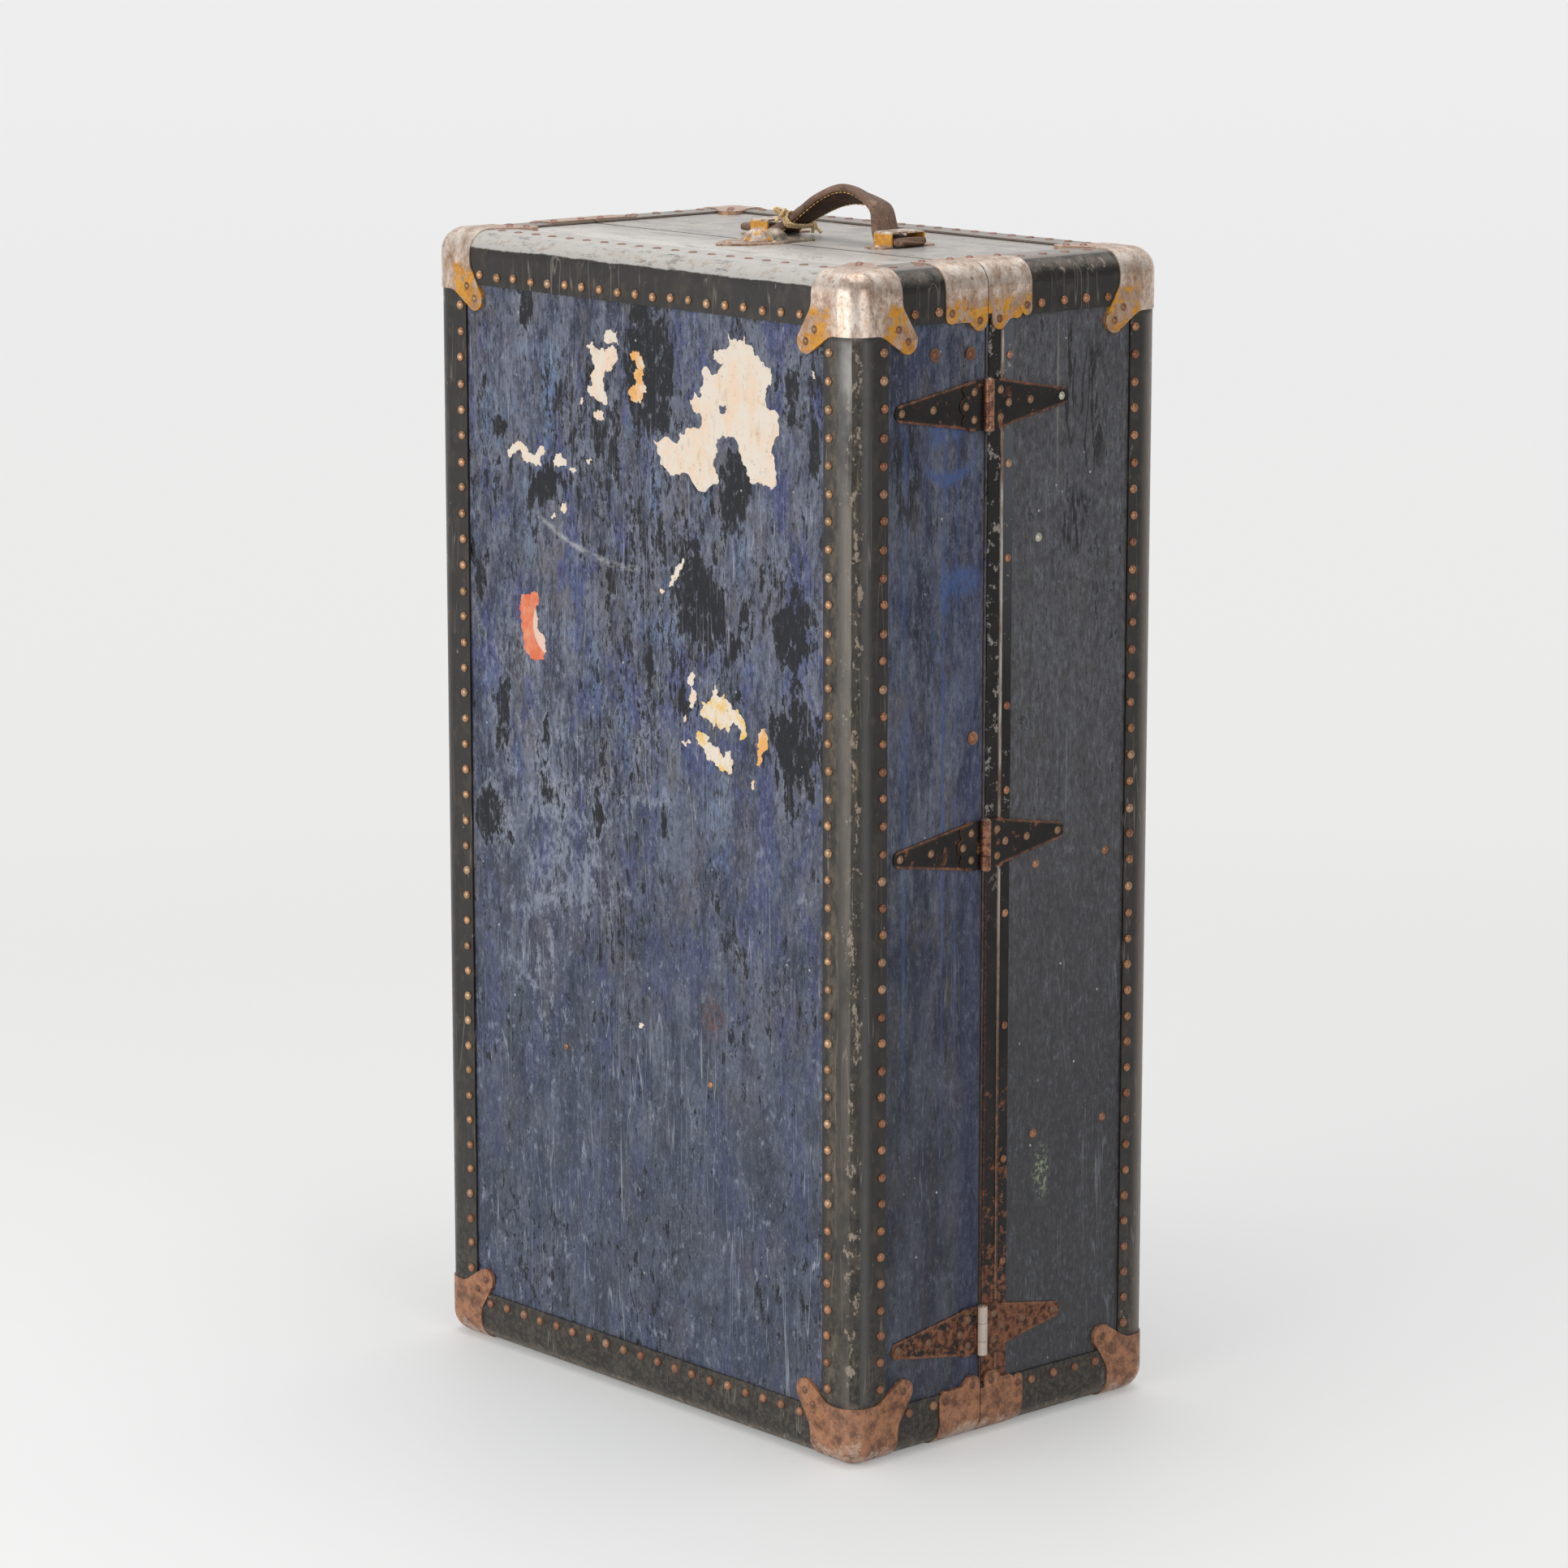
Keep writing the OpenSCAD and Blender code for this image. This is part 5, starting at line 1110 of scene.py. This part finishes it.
class TRUNK_OT_binding_rivets(TrunkOperator):
    """Set the rows of rivets along the bindings and the edge strip"""
    bl_idname = "trunk.binding_rivets"
    bl_label = "Binding rivets"

    def execute(self, context):
        size = sizes()
        tree = rivet_tree()
        for body, front in (("near_half", True), ("far_half", False)):
            walls, crown, foot = binding_rows(front, size)
            for kind, lines, height, seed in (("rivets", walls, size.rivet_height, 3),
                                              ("top_rivets", crown, size.crown_height, 11),
                                              ("foot_rivets", foot, size.foot_height, 7)):
                set_rows(tree, f"{body}_binding_{kind}", lines, "rivet_brass", body, "rivet_brass",
                         pitch=size.rivet_pitch, diameter=size.rivet_diameter, height=height,
                         jitter=0.0007, seed=seed + 10 * front)
        path = [(COVER_X + 1 * MM, PART_Y + STRIP_ROW * MM, z * MM) for z in STRIP_RIVETS]
        singles = [("edge_strip_rivets", "far_half", path, (1, 0, 0),
                    {"diameter": 0.0074, "height": 0.002, "jitter": 0.0004, "seed": 5})]
        singles += [(f"face_rivet_{index}", "near_half", [(x * MM, COVER_Y, z * MM)], (0, -1, 0),
                     {"diameter": 0.0062, "height": 0.0012, "jitter": 0.0, "seed": 9})
                    for index, (x, z) in enumerate(FACE_RIVETS, 1)]
        for name, body, path, outward, values in singles:
            set_rows(rivet_tree(False), name, [(path, outward)], "rivet_brass", body, "rivet_brass",
                     **values)
        return {"FINISHED"}


# ---- Handle --------------------------------------------------------------------------------

STRAP_LOW, STRAP_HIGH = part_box("handle_strap")
LOOP_LOW, LOOP_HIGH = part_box("handle_loops")
STRAP_MID = Vector(((LOOP_LOW.x + LOOP_HIGH.x) / 2, (STRAP_LOW.y + STRAP_HIGH.y) / 2, COVER_Z))
LOOP_OUT = (LOOP_HIGH.x - LOOP_LOW.x) / 2
LOOP_LEN = 0.022           # how far a loop reaches along the strap
LEATHER_T = 0.0094         # the strap's thickness
TAB_LEFT, TAB_RIGHT = 0.016, 0.004    # how far its ends come out of the loops
LIE = LEATHER_T / 2 + 0.0005          # height of its middle line in a loop
ARCH_H = STRAP_HIGH.z - COVER_Z - LEATHER_T / 2


def smooth(share):
    """Smooth rise from 0 to 1, and level before and after."""
    share = min(max(share, 0.0), 1.0)
    return share * share * (3 - 2 * share)


def bezier(points, t):
    a, b, c, d = points
    return (1 - t) ** 3 * a + 3 * (1 - t) ** 2 * t * b + 3 * (1 - t) * t ** 2 * c + t ** 3 * d


LOOP_IN = LOOP_OUT - LOOP_LEN
CROWN_X = 0.22 * LOOP_OUT  # where the arch is highest
ROLL = math.radians(35)    # how far the arch has turned over, near edge up
SAG = 0.005                # how much lower the arch's middle lies for that
ARCH_HALF = 0.0132         # half the strap's width along the arch
RING = 40                  # points round the strap


def strap_line(count=24):
    """The strap's middle line: flat in both loops, a long rise and a steep fall between them."""
    high = ARCH_H - SAG
    foot_left = Vector((-LOOP_IN, LIE))
    crown = Vector((CROWN_X, high))
    foot_right = Vector((LOOP_IN + 0.005, LIE))
    drop = Vector((foot_right.x - 0.015, high * 0.62))
    down = Vector((0.0024, -0.011))
    arch = ((foot_left, foot_left + Vector((0.009, 0)), crown - Vector((0.032, 0)), crown),
            (crown, crown + Vector((0.019, 0)), drop - down, drop),
            (drop, drop + down, foot_right - Vector((0.0125, 0)), foot_right))
    line = [Vector((-LOOP_OUT - TAB_LEFT + k * 0.0063, LIE)) for k in range(6)]
    for part in arch:
        line += [bezier(part, k / count) for k in range(count)]
    right = LOOP_OUT + TAB_RIGHT - foot_right.x
    line += [Vector((foot_right.x + k * right / 5, LIE)) for k in range(6)]
    return line


def strap_frames():
    """Point, tangent, normal, width direction and place in the line along the strap."""
    line = strap_line()
    frames = []
    for i, p in enumerate(line):
        ahead = heading(line, i)
        foot = -LOOP_IN if p.x < CROWN_X else LOOP_IN
        roll = ROLL * smooth((p.x - foot) / (CROWN_X - foot))
        up = Vector((-ahead.y, 0, ahead.x))
        across = Vector((0, math.cos(roll), 0)) - up * math.sin(roll)
        up = up * math.cos(roll) + Vector((0, math.sin(roll), 0))
        frames.append((STRAP_MID + Vector((p.x, 0, p.y)), Vector((ahead.x, 0, ahead.y)), up, across, p))
    return frames


def strap_section(p):
    """Half width and half thickness of the strap at a point of its line: broad tabs, a narrow arch."""
    free = smooth(max((LOOP_IN - abs(p.x)) / 0.012, (p.y - 0.012) / 0.016))
    broad = (STRAP_HIGH.y - STRAP_LOW.y) / 2
    return broad + (ARCH_HALF - broad) * free, LEATHER_T / 2 * (0.8 + 0.12 * free)


def power(value, exponent):
    return math.copysign(abs(value) ** exponent, value)


class TRUNK_OT_handle(TrunkOperator):
    """Make the leather strap of the handle with its rows of stitches"""
    bl_idname = "trunk.handle"
    bl_label = "Leather handle"

    def execute(self, context):
        frames = strap_frames()

        def build(bm):
            layer = bm.verts.layers.float.new("under")
            rings, under = [], []
            for point, _, up, across, p in frames:
                half_w, half_t = strap_section(p)
                ring = []
                for k in range(RING):
                    a = math.tau * k / RING
                    u, v = power(math.cos(a), 0.5), power(math.sin(a), 0.62)
                    where = point + across * (half_w * u) + up * (half_t * v)
                    wear = noise.noise(where * 90) * 0.0006
                    ring.append(where + up * wear)
                    under.append(min(max((-v - 0.72) / 0.14, 0.0), 1.0))
                rings.append(ring)
            sweep(bm, rings)
            for vert, share in zip(bm.verts, under):
                vert[layer] = share

        strap = add_piece("leather_strap", mesh_from("leather_strap", build), "strap_leather",
                          "far_half")
        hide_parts("handle_strap")
        lines = []
        for side in (-1, 1):
            path = []
            for point, _, up, across, p in frames[9:-9]:
                half_w, half_t = strap_section(p)
                path.append(point + across * (side * half_w * 0.74) - up * (half_t * 0.96))
            lines.append((path, (0, 0, -1)))
        set_rows(stitch_tree(), "handle_stitches", lines, "thread", "far_half", "twine",
                 pitch=0.0052, thickness=0.0011)
        return {"FINISHED"}


TWINE_T = 0.0015           # half of the twine's thickness, and how far its middle lies off the strap
TWINE_X = -0.05            # where it is wound round the strap
TURNS = 2.5                # how often it goes round
BESIDE = 0.0056            # how far it moves along the strap for that
START = 0.375              # the share of a turn at which it starts


class TRUNK_OT_twine(TrunkOperator):
    """Wind the two-strand twine round the strap and knot it"""
    bl_idname = "trunk.twine"
    bl_label = "Twine"

    def execute(self, context):
        frames = strap_frames()
        middle, ahead, up, across, p = min(frames, key=lambda item: abs(item[4].x - TWINE_X))
        half_w, half_t = strap_section(p)

        def wrap_point(turn, drift, lift=1.4):
            a = math.tau * turn
            reach_w, reach_t = half_w + TWINE_T * lift, half_t + TWINE_T * lift
            return (middle + ahead * drift + across * (reach_w * power(math.cos(a), 0.5))
                    + up * (reach_t * power(math.sin(a), 0.55)))

        def coil(at, size, start):
            """A tight knot: a cord that winds about one place."""
            return [at + size * Vector((math.cos(a * 0.9), 0.6 * math.sin(a * 1.7), math.sin(a)))
                    for a in (start + 0.35 * k for k in range(44))]

        def petal(at, out, side, length, width):
            """A loose loop that leaves a knot and comes back to it."""
            return [at + out * (length * math.sin(math.pi * t)) + side * (width * math.sin(math.tau * t))
                    for t in (k / 30 for k in range(31))]

        def tail(at, out, length, droop):
            down = Vector((0, 0, -droop))
            return [at + out * (length * t) + down * (t * t) for t in (k / 16 for k in range(17))]

        wound = [wrap_point(START + TURNS * t, BESIDE * (t - 0.5)) for t in (k / 150 for k in range(151))]
        near_knot = wrap_point(START, -0.001, 2.6)
        far_knot = wrap_point(START + 0.5, 0.001, 2.4)

        def twist(bm, points, turns_per_metre=210):
            for phase in (0, math.pi):
                strand = []
                run = 0.0
                for i, point in enumerate(points):
                    if i:
                        run += (point - points[i - 1]).length
                    along = heading(points, i)
                    side = along.cross(Vector((0.3, 0.2, 0.93))).normalized()
                    over = along.cross(side)
                    a = phase + math.tau * turns_per_metre * run
                    strand.append(point + 0.5 * TWINE_T * (math.cos(a) * side + math.sin(a) * over))
                sweep(bm, tube_rings(strand, 0.62 * TWINE_T, 7))

        def build(bm):
            twist(bm, wound)
            twist(bm, coil(near_knot, 0.0024, 0.0))
            twist(bm, coil(far_knot, 0.0022, 1.0))
            for out, side, length, width in (((-0.5, -0.75, 0.35), (0.6, -0.2, 0.6), 0.009, 0.0028),
                                             ((0.6, -0.75, 0.1), (0.4, 0.3, 0.8), 0.0075, 0.0024)):
                twist(bm, petal(near_knot, Vector(out), Vector(side), length, width))
            for knot, out, length, droop in ((near_knot, (-0.2, -0.8, -0.5), 0.010, 0.003),
                                             (far_knot, (0.3, 0.75, -0.5), 0.008, 0.002),
                                             (far_knot, (-0.7, 0.4, -0.5), 0.009, 0.002)):
                twist(bm, tail(knot, Vector(out), length, droop))

        twine = add_piece("wound_twine", mesh_from("wound_twine", build), "twine", "far_half")
        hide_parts("handle_twine")
        return {"FINISHED"}


# ---- Paper scraps --------------------------------------------------------------------------

# Outlines on the front face, in millimetres from its middle line and from the floor
SCRAPS = {
    "big_scrap": [
        (117, 955), (121, 949), (130, 948), (138, 955), (141, 947), (151, 939), (163, 934), (172, 931),
        (173, 921), (166, 913), (166, 900), (176, 896), (176, 870), (177, 850), (179, 836), (172, 828),
        (153, 832), (141, 839), (135, 849), (130, 863), (119, 868), (110, 868), (102, 858), (101, 839),
        (104, 826), (72, 824), (52, 829), (35, 833), (28, 843), (21, 855), (52, 855), (56, 865),
        (67, 870), (84, 878), (83, 883), (73, 886), (68, 894), (84, 899), (86, 911), (83, 920), (88, 924),
        (105, 921), (112, 928), (99, 931), (100, 938), (109, 940), (115, 940)],
    "upper_scrap": [
        (-68, 927), (-59, 932), (-56, 927), (-47, 928), (-43, 925), (-35, 930), (-27, 929), (-26, 919),
        (-33, 911), (-43, 909), (-46, 899), (-45, 893), (-40, 880), (-45, 879), (-54, 882), (-63, 885),
        (-66, 888), (-66, 894), (-60, 895), (-63, 902), (-59, 906), (-58, 913), (-61, 921)],
    "upper_bit_1": [(-42, 942), (-35, 945), (-26, 944), (-25, 932), (-35, 933), (-44, 934)],
    "upper_bit_2": [(-58, 872), (-53, 874), (-45, 872), (-45, 866), (-51, 865), (-58, 867)],
    "upper_bit_3": [(-78, 876), (-76, 882), (-73, 883), (-74, 877)],
    "ochre_scrap": [
        (-10, 926), (-5, 929), (2, 929), (7, 924), (10, 918), (9, 910), (6, 905), (12, 900), (12, 895),
        (7, 894), (5, 885), (-2, 885), (-9, 887), (-12, 892), (-9, 897), (-3, 899), (-6, 910), (2, 914),
        (-2, 919), (-7, 921)],
    "left_scrap": [
        (-177, 823), (-173, 830), (-163, 837), (-155, 834), (-149, 828), (-138, 828), (-133, 834),
        (-127, 835), (-127, 827), (-131, 817), (-138, 816), (-146, 819), (-155, 819), (-157, 826),
        (-164, 828), (-170, 824), (-174, 820)],
    "left_bit_1": [
        (-114, 824), (-111, 830), (-103, 831), (-102, 827), (-96, 826), (-96, 821), (-106, 819),
        (-113, 817)],
    "left_bit_2": [(-93, 818), (-85, 821), (-82, 819), (-89, 816)],
    "left_bit_3": [(-69, 829), (-64, 832), (-61, 829), (-66, 825)],
    "left_bit_4": [(-103, 786), (-97, 789), (-96, 782), (-100, 778), (-105, 782)],
    "left_bit_5": [(-118, 774), (-114, 778), (-111, 775), (-116, 772)],
    "coral_scrap": [
        (-161, 695), (-153, 701), (-144, 704), (-137, 703), (-136, 698), (-140, 692), (-139, 684),
        (-138, 676), (-134, 669), (-128, 661), (-126, 653), (-129, 646), (-137, 644), (-149, 644),
        (-154, 648), (-158, 653), (-159, 661), (-161, 670), (-162, 681), (-163, 688)],
    "crescent": [
        (58, 757), (60, 758), (59, 752), (54, 743), (47, 736), (42, 731), (40, 731), (44, 737), (48, 745),
        (53, 752)],
    "crescent_bit": [(28, 726), (32, 728), (36, 727), (31, 724)],
    "yellow_burst": [
        (96, 648), (100, 654), (102, 645), (112, 648), (110, 642), (120, 641), (122, 636), (130, 637),
        (136, 630), (140, 623), (138, 613), (132, 611), (134, 620), (125, 625), (119, 621), (117, 614),
        (112, 619), (107, 616), (101, 622), (97, 615), (93, 622), (86, 623), (81, 627), (86, 634),
        (82, 638), (94, 640)],
    "low_scrap": [
        (75, 605), (80, 611), (87, 610), (93, 608), (90, 603), (99, 601), (106, 598), (112, 593),
        (113, 599), (120, 600), (123, 593), (122, 585), (118, 579), (112, 582), (101, 584), (97, 588),
        (89, 590), (86, 597), (77, 599)],
    "low_bit": [(56, 599), (65, 602), (69, 600), (63, 595)],
    "side_sliver": [
        (159, 624), (164, 625), (167, 620), (168, 613), (164, 606), (161, 598), (157, 591), (153, 593),
        (155, 600), (157, 607), (156, 615)],
    "sliver_1": [(68, 660), (72, 662), (73, 656), (68, 649), (65, 650)],
    "sliver_2": [(69, 648), (75, 645), (76, 637), (72, 630), (67, 631), (67, 640)],
    "sliver_3": [(59, 620), (62, 623), (63, 619), (59, 616)],
    "sliver_4": [(146, 576), (151, 578), (151, 571), (147, 572)],
    "edge_bit": [(223, 933), (226, 931), (227, 926), (224, 927)],
    "pale_dot": [(-2, 340), (2, 341), (5, 339), (0, 336), (-3, 337)],
}
# The scraps that aren't of cream paper
PAPERS = {"ochre_scrap": "ochre_paper", "side_sliver": "ochre_paper", "sliver_4": "ochre_paper",
          "coral_scrap": "coral_paper", "yellow_burst": "yellow_paper", "low_scrap": "yellow_paper"}
PAPER_T = 0.00022          # the paper's thickness
PAPER_SINK = 0.00005       # how far its back lies in the covering
# A hole torn in the biggest scrap
TEAR = [(107, 893), (115, 894), (116, 890), (111, 885), (107, 887)]


def ragged(points, seed, rounds=3, rough=0.3):
    """Splits each long side of an outline again and again, moving each new point off the line."""
    chance = random.Random(seed)
    for _ in range(rounds):
        finer = []
        for a, b in zip(points, points[1:] + points[:1]):
            dx, dy = b[0] - a[0], b[1] - a[1]
            if math.hypot(dx, dy) < 0.9:
                finer.append(a)
                continue
            push = chance.uniform(-rough, rough)
            finer += [a, (a[0] + dx / 2 - dy * push, a[1] + dy / 2 + dx * push)]
        points = finer
    return points


class TRUNK_OT_scraps(TrunkOperator):
    """Lay the torn scraps of old paper labels on the front face"""
    bl_idname = "trunk.scraps"
    bl_label = "Paper scraps"

    def execute(self, context):
        for index, (name, outline) in enumerate(SCRAPS.items()):
            points = ragged(outline, 40 + index)

            def build(bm):
                loops = [points, ragged(TEAR, 90)] if name == "big_scrap" else [points]
                rims = []
                for loop in loops:
                    verts = [bm.verts.new((x * MM, COVER_Y + PAPER_SINK, z * MM)) for x, z in loop]
                    rims += [bm.edges.new(pair) for pair in zip(verts, verts[1:] + verts[:1])]
                bmesh.ops.triangle_fill(bm, edges=rims, use_beauty=True, normal=(0, -1, 0))
                made = bmesh.ops.extrude_face_region(bm, geom=bm.faces[:])
                for v in made["geom"]:
                    if isinstance(v, bmesh.types.BMVert):
                        v.co.y -= PAPER_T * (1 + 0.6 * noise.noise(v.co * 60))
                bmesh.ops.triangulate(bm, faces=bm.faces)

            paper = PAPERS.get(name, "cream_paper")
            add_piece(name, mesh_from(name, build), paper, "near_half", smooth=False)
        return {"FINISHED"}


# ---- Stage ---------------------------------------------------------------------------------

FLOOR_REACH = 60    # from the floor's middle to its sides
# The photograph's camera: its lens, its place, and how far it turns and looks down
VIEW_LENS = 122.52
VIEW_FROM = (3.4668, -3.0888, 1.4575)
VIEW_TURN = math.radians(48.38)
VIEW_DROP = math.radians(11.295)
# Lamps: name, place, target, size and power in watts
LAMPS = (("Window", (-0.5, -3.45, 1.3), (0, 0, 0.55), (4.2, 2.6), 80),
         ("Right", (3.0, -0.45, 1.5), (0.27, 0, 0.6), (1.9, 2.2), 22),
         ("Overhead", (-0.4, 0.3, 4.2), (0, 0, 0), (3.0, 3.0), 60))


class TRUNK_OT_stage(TrunkOperator):
    """Set the floor, the soft studio light and the camera"""
    bl_idname = "trunk.stage"
    bl_label = "Stage"

    def execute(self, context):
        scene = context.scene
        mesh = bpy.data.meshes.new("studio_floor")
        corners = ((-1, -1), (1, -1), (1, 1), (-1, 1))
        mesh.from_pydata([(x * FLOOR_REACH, y * FLOOR_REACH, 0) for x, y in corners], [], [(0, 1, 2, 3)])
        floor = new_object("studio_floor", mesh)
        # Lit like any floor near the trunk; farther off it shows a plain pale tone of its own
        f = Finish("Pale floor", roughness=0.55, specular=0.2)
        depth = f.y * math.cos(VIEW_TURN) - f.x * math.sin(VIEW_TURN)
        far = 0.3 + 0.7 * (1 - f.oval((0, 0, 0), (4500, 4500, 4500))).step(0.12, 0.62)
        tone = f.mix(depth.step(-2.5, 2.0), (220, 220, 219), (226, 226, 225))
        tone = f.mix(depth.step(2.0, 9.0), tone, (224, 224, 224))
        f.feed(f.shader.inputs["Emission Color"], f.mix(far * f.seen(), (0, 0, 0), tone))
        f.shader.inputs["Emission Strength"].default_value = 1.0
        f.colour = f.mix(far, (242, 242, 240), (0, 0, 0))
        f.finish()
        mesh.materials.append(f.material)

        world = scene.world or bpy.data.worlds.new("Studio")
        scene.world = world
        world.use_nodes = True
        # Even light; shiny surfaces mirror a pale backdrop behind the trunk and a dimmer room around it
        sky = Graph(world.node_tree)
        east, north, _ = sky.axes(sky.add("ShaderNodeTexCoord", out="Generated"))
        behind = (north * math.cos(VIEW_TURN) - east * math.sin(VIEW_TURN)).step(-0.2, 0.6)
        mirrored = sky.mix(behind, (0.24, 0.24, 0.25, 1), (0.86, 0.86, 0.86, 1))
        background = world.node_tree.nodes["Background"]
        sky.feed(background.inputs["Color"], sky.mix(sky.seen(), (0.54, 0.545, 0.555, 1), mirrored))
        background.inputs["Strength"].default_value = 1.0

        for name, place, target, size, watts in LAMPS:
            light = bpy.data.lights.new(name, "AREA")
            light.shape = "RECTANGLE"
            light.size, light.size_y = size
            light.energy = watts
            lamp = new_object(name, light)
            lamp.location = place
            lamp.rotation_euler = (Vector(target) - Vector(place)).to_track_quat("-Z", "Y").to_euler()

        camera = bpy.data.cameras.new("Camera")
        camera.sensor_width = 36
        camera.lens = VIEW_LENS
        camera.clip_end = 200
        eye = scene.camera = new_object("Camera", camera)
        eye.location = VIEW_FROM
        eye.rotation_euler = (math.pi / 2 - VIEW_DROP, 0, VIEW_TURN)
        scene.view_settings.view_transform = "Standard"
        return {"FINISHED"}


OPERATORS = (TRUNK_OT_finishes, TRUNK_OT_binding_rivets, TRUNK_OT_handle, TRUNK_OT_twine, TRUNK_OT_scraps,
             TRUNK_OT_stage)


class TRUNK_PT_panel(bpy.types.Panel):
    """Sidebar panel that lists the trunk's steps"""
    bl_idname = "TRUNK_PT_panel"
    bl_label = "Wardrobe Trunk"
    bl_space_type = "VIEW_3D"
    bl_region_type = "UI"
    bl_category = "Trunk"

    def draw(self, context):
        for operator in OPERATORS:
            self.layout.operator(operator.bl_idname)


CLASSES = (TrunkSizes, TrunkColours, *OPERATORS, TRUNK_PT_panel)


def register():
    for made in CLASSES:
        bpy.utils.register_class(made)
    bpy.types.Scene.trunk_sizes = bpy.props.PointerProperty(type=TrunkSizes)
    bpy.types.Scene.trunk_colours = bpy.props.PointerProperty(type=TrunkColours)


def unregister():
    del bpy.types.Scene.trunk_colours
    del bpy.types.Scene.trunk_sizes
    for made in reversed(CLASSES):
        bpy.utils.unregister_class(made)


def main():
    register()
    for operator in OPERATORS:
        group, name = operator.bl_idname.split(".")
        getattr(getattr(bpy.ops, group), name)()


if __name__ == "__main__":
    main()
